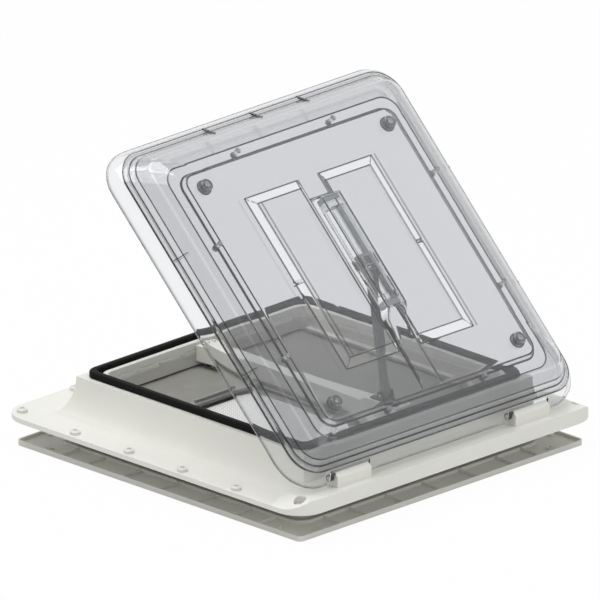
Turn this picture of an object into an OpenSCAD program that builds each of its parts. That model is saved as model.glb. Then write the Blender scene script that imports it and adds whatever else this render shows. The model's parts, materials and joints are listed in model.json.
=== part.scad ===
// Caravan roof vent: a flanged frame clamped round a square roof opening, with a
// double-skinned acrylic lid on two hinges, a support arm that runs in a toothed
// rail, a fly screen and two pull-out shades.
// Origin: middle of the underside of the inner frame. The hinges are on the -Y side.
// The lid is drawn open, at the angle lid_open.

/* [Roof and flange] */
// Side of the square hole cut in the roof
cutout_w = 400; // [396:1:410]
// Reach of the outer flange past the roof's hole
flange_over = 50; // [47:0.5:60]
// Thickness of the outer flange
flange_t = 6; // [5:0.5:9]
// Plan radius of the flange's corners
flange_r = 35; // [25:1:45]
// Thickness of the roof held between the two frames
roof_t = 28.5; // [25:0.5:45]
// Depth of the spigot that locates the flange in the roof hole
spigot_h = 26; // [18:0.5:28]
// Distance of the side screws from the flange's edge
screw_inset = 10; // [9:0.5:12]
// Pitch of the side screws
screw_pitch = 89.2; // [80:0.1:92]
// Diameter of the screw holes in the flange
screw_hole_d = 4.5; // [4:0.1:5]
// Diameter of the flange screws' heads
screw_head_d = 13; // [10:0.5:13]

/* [Upstand] */
// How far the rim's outer edge stands inside the roof's hole
rim_set = 11; // [8:0.5:13]
// Height of the rim above the roof
rim_h = 52; // [50:1:60]
// How far the upstand flares out at its foot
flare_x = 24; // [16:1:28]
// Wall of the moulded upstand
wall_t = 3.5; // [2.5:0.5:4]
// Width of the frame from the rim's outer edge to the clear opening
frame_band = 23; // [22:0.5:27]
// Distance of the opening's middle from the flange's middle, towards the hinges
opening_shift = 6; // [2:1:8]
// Height of the lip round the opening, above the rim
rim_lip_h = 3; // [2:0.5:5]
// Width of the lip round the opening
rim_lip_w = 6; // [4:0.5:6.5]

/* [Hinge ledge] */
// Height of the ledge above the roof
ledge_h = 18; // [14:1:19]
// Length of the ramp at each end of the ledge
ledge_ramp = 22; // [14:1:30]
// Depth of the ledge from the flange's edge
ledge_d = 48; // [40:1:50]

/* [Seal] */
// Width of the rubber seal
seal_w = 10; // [8:0.5:12]
// Height of the rubber seal
seal_h = 8.5; // [6:0.5:10]
// Distance of the seal from the rim's outer edge
seal_inset = 6; // [4:0.5:8]

/* [Lid] */
// Reach of the lid past the rim on each side
lid_over_x = 51; // [49:0.5:56]
// Reach of the lid past the rim at each end
lid_over_y = 46; // [45:0.5:48]
// Rise of the outer dome above the lid's lower edge
dome_h = 72; // [71:1:90]
// Thickness of the outer dome
dome_t = 3; // [2.5:0.1:3.5]
// Thickness of the inner pane
pane_t = 2.5; // [2:0.1:3]
// Plan radius of the lid's corners
lid_r = 45; // [40:1:55]
// How far the lid's lower edge hangs below the rim
lid_overlap = 28; // [24:1:30]
// Angle of the lid in the drawn pose
lid_open = 44.8; // [30:0.1:55]
// Distance of the bosses that join the two skins from the pane's step
boss_in = 24; // [21:0.5:30]
// Diameter of those bosses
boss_d = 14; // [11:0.5:18]
// Width of the raised field on the inner pane
field_w = 210; // [190:1:220]
// Length of the raised field on the inner pane
field_l = 240; // [220:1:250]
// Distance of the arm's channel from the lid's hinge edge
channel_from = 60; // [58:1:64]
// Rise of the raised field
field_h = 3; // [2:0.5:4]

/* [Hinges] */
// Distance of each hinge's middle from the vent's middle
hinge_x = 148; // [130:1:165]
// Width of a hinge block
hinge_w = 56; // [40:1:64]
// Diameter of the hinge pins
hinge_pin_d = 5; // [4:0.5:6]
// Height of the hinge axis above the lid's lower edge when it is closed
axis_up = 6; // [5:0.5:8]
// Distance of the hinge axis behind the lid's hinge edge
axis_in = 6; // [5:0.5:8]

/* [Support arm] */
// Length of the support arm between its pins
arm_len = 150.8; // [149:0.1:152]
// Width of the support arm
arm_w = 12; // [10:0.5:12.5]
// Thickness of the support arm
arm_t = 7; // [5:0.5:8]
// Diameter of the arm's two pins
arm_pin_d = 3; // [2.5:0.1:4]
// Distance of the arm's foot pin from the hinge axis
arm_foot_in = 89; // [87:0.5:90]
// Height of the arm's foot pin above the roof
arm_foot_z = 64; // [63.5:0.5:65]

/* [Slide rail] */
// Outside width of the slide rail
rail_w = 24; // [22:0.5:26]
// Distance of the slide rail from the lid's hinge edge
rail_from = 172; // [171:0.5:173]
// Length of the slide rail
rail_l = 138; // [134:1:142]
// Height of the slide rail
rail_h = 13.5; // [12:0.5:14]
// Width of the rail's slot
slot_w = 14; // [13:0.5:16]
// Pitch of the rail's teeth
tooth_pitch = 3; // [2.5:0.1:5]
// Height of the rail's teeth
tooth_h = 1.5; // [1:0.1:2]

/* [Bridge] */
// Depth of the bridge
bridge_h = 19.5; // [16:0.5:22]
// Drop of the bridge's top below the rim
bridge_drop = 0; // [0:0.5:2]
// Width of the bridge at its ends
bridge_w = 30; // [26:1:36]
// Width of the bridge at its waist
bridge_waist = 18; // [14:1:24]

/* [Screens] */
// Height of the shades above the roof
shade_z = 25; // [23:0.5:27]
// Width of the pull bars, along the shade's travel
bar_w = 12; // [8:1:14]
// Height of the pull bars
bar_h = 4; // [3:0.5:5]
// How far the left shade is pulled out
left_out = 96; // [60:1:280]
// Distance of the right shade's pull bar from the hinge wall
right_rest = 14; // [8:1:130]
// Gaps of the fly screen across the vent
net_nx = 16; // [8:1:17]
// Gaps of the fly screen along the vent
net_ny = 17; // [8:1:17]
// Diameter of the shade rollers
roller_d = 12; // [9:0.5:13]

/* [Inner frame] */
// Reach of the inner frame past the roof's hole
inner_over = 36; // [33:0.5:45]
// Thickness of the inner frame's plate
inner_t = 3; // [2.5:0.5:4]
// Height of the lip round the inner frame
inner_lip_h = 6.5; // [5:0.5:9]
// Pitch of the inner frame's ribs
rib_pitch = 61; // [50:1:64]
// Thickness of the ribs
rib_t = 2.5; // [2:0.5:4]

/* [Hidden] */
$fn = 48;

// Gap between faces of pieces that only lie near each other
seat = 0.3;
// Running gap round pins
run = 0.05;
// A little past a face, for cuts
over = 1;

// Heights, from the underside of the inner frame
roof_z = inner_lip_h + roof_t;
flange_z = roof_z + flange_t;
rim_z = roof_z + rim_h;
seal_top = rim_z + seal_h;
ledge_z = roof_z + ledge_h;
lid_z = rim_z - lid_overlap;
axis_z = lid_z + axis_up;

// Widths that follow from the roof's hole
spigot_gap = 4;
flange_w = cutout_w + 2 * flange_over;
rim_w = cutout_w - 2 * rim_set;
opening_w = rim_w - 2 * frame_band;
lid_w = rim_w + 2 * lid_over_x;
lid_l = rim_w + 2 * lid_over_y;
inner_w = cutout_w + 2 * inner_over;

// Plan places
open_y = -opening_shift;
rim_half = rim_w / 2;
open_half = opening_w / 2;
flange_half = flange_w / 2;
lid_front = -lid_l / 2;
axis_y = lid_front + axis_in;
open_r = 12;

// The pane's sealing face lies this far above the lid's lower edge
seal_gap = 0.5;
pane_seal_n = seal_top + seal_gap - lid_z;
pane_top_n = pane_seal_n + 10;

// Points of an arc, rounded rectangles and places along an ellipse
function arc(cx, cy, r, a0, a1, n) =
    [for (i = [0:n]) let (a = a0 + (a1 - a0) * i / n) [cx + r * cos(a), cy + r * sin(a)]];
function rounded(w, l, r, n = 6) = concat(
    arc(w / 2 - r, l / 2 - r, r, 0, 90, n), arc(-w / 2 + r, l / 2 - r, r, 90, 180, n),
    arc(-w / 2 + r, -l / 2 + r, r, 180, 270, n), arc(w / 2 - r, -l / 2 + r, r, 270, 360, n));

// A flat plate with rounded corners, centred on the opening or on the vent
module plate(w, l, r, z, h, y = 0) {
    translate([0, y, z]) linear_extrude(h) polygon(rounded(w, l, r));
}

// A square ring with rounded corners
module ring(w_out, w_in, r_out, r_in, z, h, y = open_y) {
    translate([0, y, z]) linear_extrude(h) difference() {
        polygon(rounded(w_out, w_out, r_out));
        polygon(rounded(w_in, w_in, r_in));
    }
}

// A section swept round a square: points are [distance inward from the half width, height]
module ring_sweep(pts, half, r) {
    for (i = [0:3]) rotate(90 * i) {
        translate([half, 0, 0]) rotate([90, 0, 0])
            linear_extrude(2 * (half - r), center = true) polygon([for (p = pts) [-p[0], p[1]]]);
        translate([half - r, half - r, 0])
            rotate_extrude(angle = 90) polygon([for (p = pts) [r - p[0], p[1]]]);
    }
}

// A section swept round a square with mitred corners: points are [distance from the middle, height]
module mitred_sweep(pts, reach, z_low, z_high) {
    for (i = [0:3]) rotate(90 * i) intersection() {
        rotate([90, 0, 0]) linear_extrude(2 * reach, center = true) polygon(pts);
        translate([0, 0, z_low]) linear_extrude(z_high - z_low)
            polygon([[0, 0], [reach, -reach], [reach, reach]]);
    }
}

// A skin through rings of rounded rectangles, closed at both ends
// Each ring is [width, length, corner radius, height, y of its middle]
loft_n = 5;
module loft(rings) {
    m = 4 * (loft_n + 1);
    last = len(rings) - 1;
    pts = [for (g = rings) each [for (p = rounded(g[0], g[1], g[2], loft_n)) [p[0], p[1] + g[4], g[3]]]];
    sides = [for (k = [0:last - 1]) for (i = [0:m - 1])
        let (a = k * m + i, b = k * m + (i + 1) % m)
        each [[a, a + m, b + m], [a, b + m, b]]];
    polyhedron(pts, concat(sides, [[for (i = [0:m - 1]) i]],
        [[for (i = [m - 1:-1:0]) last * m + i]]));
}

// Turns pieces drawn for the closed lid to the drawn pose
module on_lid() {
    translate([0, axis_y, axis_z]) rotate([lid_open, 0, 0])
        translate([0, -axis_y, -axis_z]) children();
}

// Places of the flange screws: four a side, and one near each corner
corner_in = 19;
corner_screw = flange_half - corner_in;
side_places = [-1.5, -0.5, 0.5, 1.5] * screw_pitch;
edge_line = flange_half - screw_inset;
flat_sides = [for (s = side_places) each [[-edge_line, s], [edge_line, s], [s, edge_line]]];
corners = [for (x = [-1, 1]) for (y = [-1, 1]) [x * corner_screw, y * corner_screw]];
screw_places = concat(flat_sides, corners);
pocket_d = screw_head_d + 2.5;

// Profile of the flared upstand
flare_h = rim_h - flange_t;
flare_n = 9;
function flare(t) = [for (i = [0:flare_n]) let (a = 90 * i / flare_n)
    [rim_half + flare_x - (flare_x + t) * cos(a), flange_z + flare_h - (flare_h + t) * sin(a)]];
function reversed(v) = [for (i = [len(v) - 1:-1:0]) v[i]];

// The ledge under the hinges, with a ramp at each end
module ledge_solid(inset, drop) {
    w = flange_half - inset;
    intersection() {
        translate([0, -flange_half + ledge_d, 0]) rotate([90, 0, 0]) linear_extrude(ledge_d - inset)
            polygon([[-w, roof_z - drop], [w, roof_z - drop], [w, flange_z - drop],
                [w - ledge_ramp, ledge_z - drop], [-w + ledge_ramp, ledge_z - drop],
                [-w, flange_z - drop]]);
        plate(2 * w, 2 * w, flange_r - inset, roof_z - over, ledge_h + 2 * over);
    }
}

spigot_w = cutout_w - 2 * spigot_gap;
spigot_t = 3;
pocket_wall = 2;
module outer_frame() color("#e6e6df") difference() {
    union() {
        difference() {
            union() {
                plate(flange_w, flange_w, flange_r, roof_z, flange_t);
                ledge_solid(0, 0);
            }
            intersection() {
                ledge_solid(wall_t, wall_t);
                translate([-flange_half, -flange_half, roof_z - over])
                    cube([flange_w, flange_half + hinge_screw_y + 7, ledge_h]);
            }
            plate(spigot_w - 2 * spigot_t, spigot_w - 2 * spigot_t, 17, roof_z - over, ledge_h + 2 * over);
        }
        intersection() {
            ledge_solid(0, 0);
            for (x = [-1, 1]) translate([x * corner_screw, -corner_screw, roof_z])
                cylinder(d = pocket_d + 2 * pocket_wall, h = ledge_h);
        }
        translate([0, open_y, 0])
            mitred_sweep(concat(flare(0), reversed(flare(wall_t))), rim_half + flare_x, 0, rim_z + over);
        ring(rim_w - 0.5, opening_w, 2, open_r, rim_z - wall_t, wall_t);
        ring(opening_w + 2 * rim_lip_w, opening_w, open_r + rim_lip_w, open_r, rim_z - 1, rim_lip_h + 1);
        ring(opening_w + 2 * liner_t, opening_w, open_r + liner_t, open_r, rim_z - rim_skirt, rim_skirt);
        ring(spigot_w, spigot_w - 2 * spigot_t, 20, 17, roof_z - spigot_h, spigot_h + 1, y = 0);
    }
    for (p = screw_places) translate([p[0], p[1], roof_z - over])
        cylinder(d = screw_hole_d, h = flange_t + 2 * over);
    for (x = [-1, 1]) translate([x * corner_screw, -corner_screw, flange_z])
        cylinder(d = pocket_d, h = ledge_h);
    for (x = [-1, 1]) for (s = [-1, 1])
        translate([x * hinge_x + s * hinge_w / 4, hinge_screw_y, roof_z])
            cylinder(d = hinge_screw_d + 0.5, h = ledge_h + over);
}

module lid_seal() color("#2a2a2c") {
    half = rim_half - seal_inset;
    bevel = 2;
    translate([0, open_y, 0]) ring_sweep([[0, rim_z], [0, seal_top - bevel], [bevel, seal_top],
        [seal_w - bevel, seal_top], [seal_w, seal_top - bevel], [seal_w, rim_z]], half, 16);
}

// A pan-head screw standing on a face, with a cross recess
module pan_screw(head_d, head_h, shank_d, shank_l) {
    difference() {
        union() {
            cylinder(d = head_d, h = head_h * 0.55);
            translate([0, 0, head_h * 0.55]) cylinder(d1 = head_d, d2 = head_d * 0.62, h = head_h * 0.45);
            translate([0, 0, -shank_l]) cylinder(d = shank_d, h = shank_l);
        }
        for (a = [0, 90]) rotate(a) translate([0, 0, head_h])
            cube([head_d * 0.42, head_d * 0.1, head_h * 0.8], center = true);
    }
}

// The flange screws are cut off level with the roof, which isn't part of the vent
screw_len = flange_t;
module flange_screws() color("#dcdcd6")
    for (p = screw_places) translate([p[0], p[1], flange_z])
        pan_screw(screw_head_d, 5, screw_hole_d - 0.6, screw_len);

// Hinges: a capped block on the ledge, a pin, and an eye on the lid
block_d = 22;
block_back = axis_y + block_d / 2 + 1;
block_front = block_back - block_d;
hinge_screw_y = axis_y + 7.5;
hinge_screw_d = 3;
eye_w = 6;
block_top = axis_z + 7;
module hinge_block(x) color("#e4e4de") difference() {
    translate([x - hinge_w / 2, 0, 0]) rotate([90, 0, 90]) linear_extrude(hinge_w) polygon([
        [block_front, ledge_z], [block_back, ledge_z], [block_back, axis_z], [axis_y + 8, block_top - 1],
        [axis_y - 3, block_top], [block_front, axis_z + 1]]);
    translate([x - hinge_w / 2 - over, axis_y, axis_z]) rotate([0, 90, 0])
        cylinder(d = hinge_pin_d + 2 * run, h = hinge_w - 6 + over);
    translate([x - 14, axis_y - 1, block_top - 1.5]) cube([28, 3, 3]);
    for (s = [-1, 1]) translate([x + s * hinge_w / 4, hinge_screw_y, ledge_z - over])
        cylinder(d = hinge_screw_d + 2 * run, h = block_top - ledge_z - 5 + over);
}
module hinge_block_left() hinge_block(-hinge_x);
module hinge_block_right() hinge_block(hinge_x);

// The block screws come up through the ledge from below
module hinge_block_screws() color("#b9bcbf") {
    under = ledge_z - wall_t;
    for (x = [-1, 1]) for (s = [-1, 1])
        translate([x * hinge_x + s * hinge_w / 4, hinge_screw_y, under]) {
            translate([0, 0, -2]) cylinder(d = 6, h = 2);
            cylinder(d = hinge_screw_d, h = block_top - ledge_z - 6.5 + wall_t);
        }
}

pin_out = eye_w + 1.2;
module hinge_pins() color("#3c3e40") for (x = [-1, 1])
    translate([x * hinge_x - hinge_w / 2 - pin_out, axis_y, axis_z]) rotate([0, 90, 0])
        cylinder(d = hinge_pin_d, h = hinge_w - 6 + pin_out);

// Each eye has a leaf that reaches up inside the lid's skirt
eye_r = 4.6;
eye_bore = hinge_pin_d + 2 * run;
notch_h = 15.5;
module lid_hinge_eyes() color("#4a4c4e") on_lid() for (x = [-1, 1])
    translate([x * hinge_x - hinge_w / 2 - 0.6 - eye_w, 0, 0]) difference() {
        union() {
            translate([0, axis_y, axis_z]) rotate([0, 90, 0]) cylinder(r = eye_r, h = eye_w);
            translate([0, axis_y - 2.2, axis_z]) cube([eye_w, 4.4, notch_h - axis_up - seat]);
        }
        translate([-over, axis_y, axis_z]) rotate([0, 90, 0]) cylinder(d = eye_bore, h = eye_w + 2 * over);
    }

// Section of the dome: [distance inward from the lid's edge, height, corner radius]
dome = [[0, 0, lid_r], [1.5, 8, lid_r - 1], [6, 15, lid_r - 5], [11, 19.5, lid_r - 9],
    [17, 22, lid_r - 13], [24, 32, lid_r - 19], [32.6, 42.6, lid_r - 26], [42, 50, lid_r - 28],
    [58, 57.5, lid_r - 27], [82, dome_h - 8, lid_r - 21], [115, dome_h - 3.2, lid_r - 10],
    [155, dome_h - 1, lid_r], [200, dome_h, 20]];
// The same section set inward by a wall, along the normals of its corners
function unit(v) = v / norm(v);
function slope(p, i) = unit([p[min(i + 1, len(p) - 1)][0] - p[max(i - 1, 0)][0],
    p[min(i + 1, len(p) - 1)][1] - p[max(i - 1, 0)][1]]);
function inset(p, t) = [for (i = [0:len(p) - 1]) let (d = slope(p, i))
    [p[i][0] + t * d[1], i == 0 ? p[0][1] : p[i][1] - t * d[0], max(p[i][2] - t / 2, 6)]];
dome_in = inset(dome, dome_t);
function dome_under(a) = lookup(a, [for (p = dome_in) [p[0], p[1]]]);
function dome_rings(p) = [for (q = p) [lid_w - 2 * q[0], lid_l - 2 * q[0], q[2], lid_z + q[1], 0]];

// A gusset in the hollow corner of the dome's step
gusset_t = 2;
gusset_x = 78;
gusset_y = 81;
module gusset(reach) rotate([90, 0, 0]) linear_extrude(gusset_t, center = true) polygon([
    [reach - 10.5, lid_z + 17], [reach - 10.5, lid_z + 19.8],
    [reach - 24.5, lid_z + 33], [reach - 26, lid_z + 31]]);

module lid_outer_dome() color("#d2d5d8", 0.45) on_lid() difference() {
    union() {
        loft(concat(reversed(dome_rings(dome_in)), dome_rings(dome)));
        for (x = [-1:1]) translate([x * gusset_x, 0, 0]) rotate(90) gusset(lid_l / 2);
        for (s = [0, 180]) for (y = [-1, 1]) translate([0, y * gusset_y, 0]) rotate(s) gusset(lid_w / 2);
    }
    for (x = [-1, 1]) translate([x * hinge_x - hinge_w / 2 - eye_w - 1.6, lid_front - over, lid_z - over])
        cube([hinge_w + eye_w + 3, 14, notch_h + over]);
}

// The inner pane: a glued edge, a sloping side, a flat face for the seal, and a raised middle
pane_edge_n = 14;
pane_edge = lookup(pane_edge_n + pane_t, [for (p = dome_in) [p[1], p[0]]]) + 0.9;
seal_face_w = 2 * (rim_half - seal_inset) + 14;
step_w = 2 * (rim_half - seal_inset - seal_w) + 6;
function pane_ring(w, l, r, n, y) = [w, l, r, lid_z + n, y];
pane_up = [pane_ring(lid_w - 2 * pane_edge, lid_l - 2 * pane_edge, lid_r - 12, pane_edge_n + pane_t, 0),
    pane_ring(lid_w - 38, lid_l - 38, lid_r - 17, pane_edge_n + pane_t, 0),
    pane_ring(seal_face_w, seal_face_w, 22, pane_seal_n + pane_t, open_y),
    pane_ring(step_w, step_w, 18, pane_seal_n + pane_t, open_y),
    pane_ring(step_w - 7, step_w - 7, 16, pane_top_n, open_y)];
pane_low = [pane_ring(lid_w - 2 * pane_edge, lid_l - 2 * pane_edge, lid_r - 12, pane_edge_n, 0),
    pane_ring(lid_w - 42, lid_l - 42, lid_r - 19, pane_edge_n, 0),
    pane_ring(seal_face_w - 2, seal_face_w - 2, 21, pane_seal_n, open_y),
    pane_ring(step_w - 5, step_w - 5, 16, pane_seal_n, open_y),
    pane_ring(step_w - 12, step_w - 12, 14, pane_top_n - pane_t, open_y)];

// The channel is raised out of the pane to make room for the rail and the arm
channel_in = slot_w;
channel_wall = 2.5;
channel_n = pane_top_n + 16.3;
rail_y0 = lid_front + rail_from;
rail_y1 = rail_y0 + rail_l;
clip_l = 7;
channel_y0 = lid_front + channel_from;
channel_y1 = rail_y1 + clip_l + 3;
channel_ramp = 32;
module channel(half, up, ends) {
    translate([-half, 0, 0]) rotate([90, 0, 90]) linear_extrude(2 * half) polygon([
        [channel_y0 - ends, lid_z + pane_top_n - 6], [channel_y0 - ends, lid_z + pane_top_n + up],
        [channel_y0 + 24, lid_z + pane_top_n + 7 + up],
        [rail_y0 - clip_l - 15, lid_z + channel_n - 1 + up],
        [rail_y0 - clip_l, lid_z + channel_n + up], [channel_y1, lid_z + channel_n + up],
        [channel_y1 + channel_ramp + ends, lid_z + pane_top_n + up],
        [channel_y1 + channel_ramp + ends, lid_z + pane_top_n - 6]]);
}

// One raised field beside the channel
field_bevel = 7;
module field(x) {
    w = field_w / 2 - channel_in - channel_wall - 2;
    translate([x * (field_w / 2 - w / 2), 0, 0]) loft([
        [w, field_l, 4, lid_z + pane_top_n - 1, open_y + 3],
        [w, field_l, 4, lid_z + pane_top_n, open_y + 3],
        [w - 2 * field_bevel, field_l - 2 * field_bevel, 3, lid_z + pane_top_n + field_h, open_y + 3]]);
}

// A rib across the bevel, half way along a field's outer side
field_rib = 5;
module field_rib(x) translate([x * (field_w / 2 - 0.5 - field_bevel / 2), open_y + 1, lid_z + pane_top_n])
    cube([field_bevel, field_rib, 2 * field_h], center = true);

boss_pitch = step_w - 2 * boss_in;
boss_places = [for (x = [-1, 1]) for (y = [-1, 1]) [x * boss_pitch / 2, open_y + y * boss_pitch / 2]];
boss_screw_d = 4;
module lid_inner_pane() color("#c3c7ca", 0.5) on_lid() difference() {
    union() {
        loft(concat(reversed(pane_low), pane_up));
        for (x = [-1, 1]) field(x);
        for (x = [-1, 1]) field_rib(x);
        intersection() {
            channel(channel_in + channel_wall, channel_wall, 3);
            translate([-50, -lid_l / 2, lid_z + pane_top_n - pane_t]) cube([100, lid_l, 40]);
        }
    }
    channel(channel_in, 0, 0);
    for (p = boss_places) translate([p[0], p[1], lid_z + pane_top_n - 3 * pane_t])
        cylinder(d = boss_screw_d + 2 * run, h = 6 * pane_t);
}

// A boss between the two skins, where a screw from below holds the pane
function boss_top(p) = lid_z + dome_under(min(lid_w / 2 - abs(p[0]), lid_l / 2 - abs(p[1])) - boss_d / 2) - seat - 1.2;
module pane_bosses() color("#9b9ea1") on_lid() for (p = boss_places) {
    low = lid_z + pane_top_n;
    translate([p[0], p[1], low]) difference() {
        union() {
            cylinder(d = boss_d + 4, h = 1.5);
            cylinder(d = boss_d, h = boss_top(p) - low);
        }
        translate([0, 0, -over]) cylinder(d = boss_screw_d + 2 * run, h = boss_top(p) - low - 2);
    }
}

module pane_screws() color("#8c8f92") on_lid() for (p = boss_places)
    translate([p[0], p[1], lid_z + pane_top_n - pane_t - seat]) mirror([0, 0, 1])
        pan_screw(9, 3, boss_screw_d, boss_top(p) - lid_z - pane_top_n + pane_t - 5);

// Clips that stand on the sealing face, against the pane's step
clip_pitch = 158;
clip_h = 7.5;
module pane_clips() color("#a9acae") on_lid() for (i = [0:3]) for (s = [-1, 1])
    translate([0, open_y, lid_z + pane_seal_n + pane_t]) rotate(90 * i)
        translate([step_w / 2 + seat, s * clip_pitch / 2 - 5, 0]) difference() {
            cube([7, 10, clip_h]);
            translate([2, 3, 2.5]) cube([10, 4, clip_h - 5]);
        }

// Slide rail: two flanged walls with a slot between them, and teeth on one flange
rail_n0 = channel_n - rail_h;
rail_wall = 2;
rail_floor = 2;
web_l = 8;
module slide_rail() color("#86898b") on_lid() translate([0, 0, lid_z + rail_n0]) {
    rail_top = rail_h - seat;
    difference() {
        translate([-rail_w / 2, rail_y0, 0]) cube([rail_w, rail_l, rail_top]);
        translate([-rail_w / 2 + rail_wall, rail_y0 + web_l, rail_floor])
            cube([rail_w - 2 * rail_wall, rail_l - 2 * web_l, rail_h]);
        translate([-slot_w / 2, rail_y0 - over, -over]) cube([slot_w, rail_l - web_l + over, rail_floor + 2 * over]);
        translate([-slot_w / 2, rail_y0 - over, -over]) cube([slot_w, web_l + 2 * over, rail_h - 4 + over]);
    }
    teeth = floor((rail_l - 2 * web_l) / tooth_pitch);
    for (i = [0:teeth - 1])
        translate([-rail_w / 2 + rail_wall, rail_y0 + web_l + i * tooth_pitch, rail_floor])
            rotate([90, 0, 90]) linear_extrude((rail_w - slot_w) / 2 - rail_wall)
                polygon([[0, -0.4], [tooth_pitch - 0.4, -0.4], [tooth_pitch - 0.4, tooth_h], [0, 0]]);
}

// End clips of the rail; the lower one is cut out for the arm
module rail_end_clips() color("#3a3c3e") on_lid() translate([0, 0, lid_z + rail_n0]) {
    translate([-rail_w / 2, rail_y1 + seat, 1]) difference() {
        cube([rail_w, clip_l, rail_h - 2]);
        translate([4, 2, -over]) cube([rail_w - 8, clip_l - 4, rail_h - 4]);
    }
    translate([-rail_w / 2, rail_y0 - seat - clip_l, 0]) difference() {
        cube([rail_w, clip_l, rail_h - 3.5]);
        translate([rail_w / 2 - slot_w / 2, -over, -over]) cube([slot_w, clip_l + 2 * over, rail_h - 5]);
    }
}

// Places of the arm's two pins: the foot stands on the bracket, and the upper pin runs in the
// rail's middle. Both are worked out in the lid's own frame, from the hinge axis.
pin_drop = 5.7;
foot_y = axis_y + arm_foot_in;
foot_z = roof_z + arm_foot_z;
foot_t = (foot_y - axis_y) * cos(lid_open) + (foot_z - axis_z) * sin(lid_open);
foot_n = (foot_z - axis_z) * cos(lid_open) - (foot_y - axis_y) * sin(lid_open);
pin_n = channel_n - pin_drop - axis_up;
pin_t = foot_t + sqrt(arm_len * arm_len - (pin_n - foot_n) * (pin_n - foot_n));
pin_y = axis_y + pin_t;
pin_z = axis_z + pin_n;
arm_a = lid_open + atan2(pin_n - foot_n, pin_t - foot_t);
arm_gap = 0.3;

// Slider: two cheeks on the pin, joined by a block that carries the latch
cheek_in = arm_w / 2 + arm_gap;
slider_half = rail_w / 2 - rail_wall - 0.5;
slider_low = 3.1;
slider_high = 3.6;
block_y = pin_y + arm_t / 2 + 2.5;
block_l = 16;
slider_y0 = pin_y - 9;
latch_half = 4;
latch_l = 6.5;
latch_y = block_y + 5;
latch_gap = 0.35;
latch_travel = 3;
wing_h = 2.2;
module arm_slider() color("#6d7073") on_lid() difference() {
    translate([-slider_half, slider_y0, pin_z - slider_low])
        cube([2 * slider_half, block_y + block_l - slider_y0, slider_low + slider_high]);
    translate([-cheek_in, slider_y0 - over, pin_z - slider_low - over])
        cube([2 * cheek_in, block_y - slider_y0 + over, slider_low + slider_high + 2 * over]);
    translate([-slider_half - over, pin_y, pin_z]) rotate([0, 90, 0])
        cylinder(d = arm_pin_d + 2 * run, h = 2 * slider_half + 2 * over);
    translate([-latch_half - latch_gap, latch_y - latch_travel - latch_gap, pin_z - slider_low - over])
        cube([2 * (latch_half + latch_gap), latch_l + latch_travel + 2 * latch_gap,
            slider_low + slider_high + 2 * over]);
    translate([-slider_half - over, latch_y - latch_travel - latch_gap, pin_z - slider_low - over])
        cube([slider_half + over, latch_l + latch_travel + 2 * latch_gap, wing_h + latch_gap + over]);
}

// T-shaped latch that is pinched to let the slider run
head_gap = 1.6;
head_h = 3;
head_half = 9;
module slider_latch() color("#55585a") on_lid() {
    head_top = lid_z + rail_n0 - head_gap;
    translate([-latch_half, latch_y, head_top - 1])
        cube([2 * latch_half, latch_l, pin_z + slider_high - head_top + 1]);
    translate([-slider_half, latch_y + 1.5, pin_z - slider_low]) cube([slider_half, latch_l - 3, wing_h]);
    translate([-head_half, latch_y - 3, head_top - head_h]) cube([2 * head_half, latch_l + 6, head_h]);
}

// Support arm: a flat bar with round ends and a waist near its foot
arm_waist = 8;
module support_arm() color("#77797b") translate([0, foot_y, foot_z]) rotate([arm_a, 0, 0]) difference() {
    intersection() {
        union() {
            for (y = [0, arm_len]) translate([-arm_w / 2, y, 0]) rotate([0, 90, 0])
                cylinder(d = arm_t, h = arm_w);
            translate([-arm_w / 2, 0, -arm_t / 2]) cube([arm_w, arm_len, arm_t]);
        }
        translate([0, 0, -arm_t]) linear_extrude(2 * arm_t) polygon([
            [-arm_w / 2, -arm_t], [arm_w / 2, -arm_t], [arm_w / 2, 8], [arm_waist / 2, 20],
            [arm_waist / 2, 44], [arm_w / 2, 60], [arm_w / 2, arm_len + arm_t],
            [-arm_w / 2, arm_len + arm_t], [-arm_w / 2, 60], [-arm_waist / 2, 44],
            [-arm_waist / 2, 20], [-arm_w / 2, 8]]);
    }
    for (y = [0, arm_len]) translate([-arm_w, y, 0]) rotate([0, 90, 0])
        cylinder(d = arm_pin_d + 2 * run, h = 2 * arm_w);
    translate([-arm_w / 2 + 2.5, 64, -arm_t]) cube([arm_w - 5, arm_len - 78, arm_t - 1.5]);
}

module arm_top_pin() color("#b4b7ba") on_lid()
    translate([-slider_half + seat, pin_y, pin_z]) rotate([0, 90, 0])
        cylinder(d = arm_pin_d, h = 2 * (slider_half - seat));

// Bracket on the bridge that holds the arm's foot between two cheeks
bracket_t = 2.5;
cheek_t = 3;
bracket_l = 20;
bracket_z = foot_z - arm_t / 2 - 1 - bracket_t;
bracket_half = cheek_in + cheek_t;
module arm_bracket() color("#4b4e50") difference() {
    union() {
        translate([-bracket_half, foot_y - bracket_l / 2 - 6, bracket_z])
            cube([2 * bracket_half, bracket_l + 12, bracket_t]);
        for (s = [-1, 1]) translate([s * (cheek_in + cheek_t / 2), foot_y, 0]) {
            translate([-cheek_t / 2, 0, foot_z]) rotate([0, 90, 0]) cylinder(d = 10, h = cheek_t);
            translate([-cheek_t / 2, -5, bracket_z]) cube([cheek_t, 10, foot_z - bracket_z]);
        }
    }
    translate([-bracket_half - over, foot_y, foot_z]) rotate([0, 90, 0])
        cylinder(d = arm_pin_d + 2 * run, h = 2 * bracket_half + 2 * over);
    for (s = [-1, 1]) translate([0, foot_y + s * (bracket_l / 2 + 1), bracket_z - over])
        cylinder(d = 3.4, h = bracket_t + 2 * over);
}

module arm_foot_pin() color("#b4b7ba")
    translate([-bracket_half - 1, foot_y, foot_z]) rotate([0, 90, 0])
        cylinder(d = arm_pin_d, h = 2 * bracket_half + 2);

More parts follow.
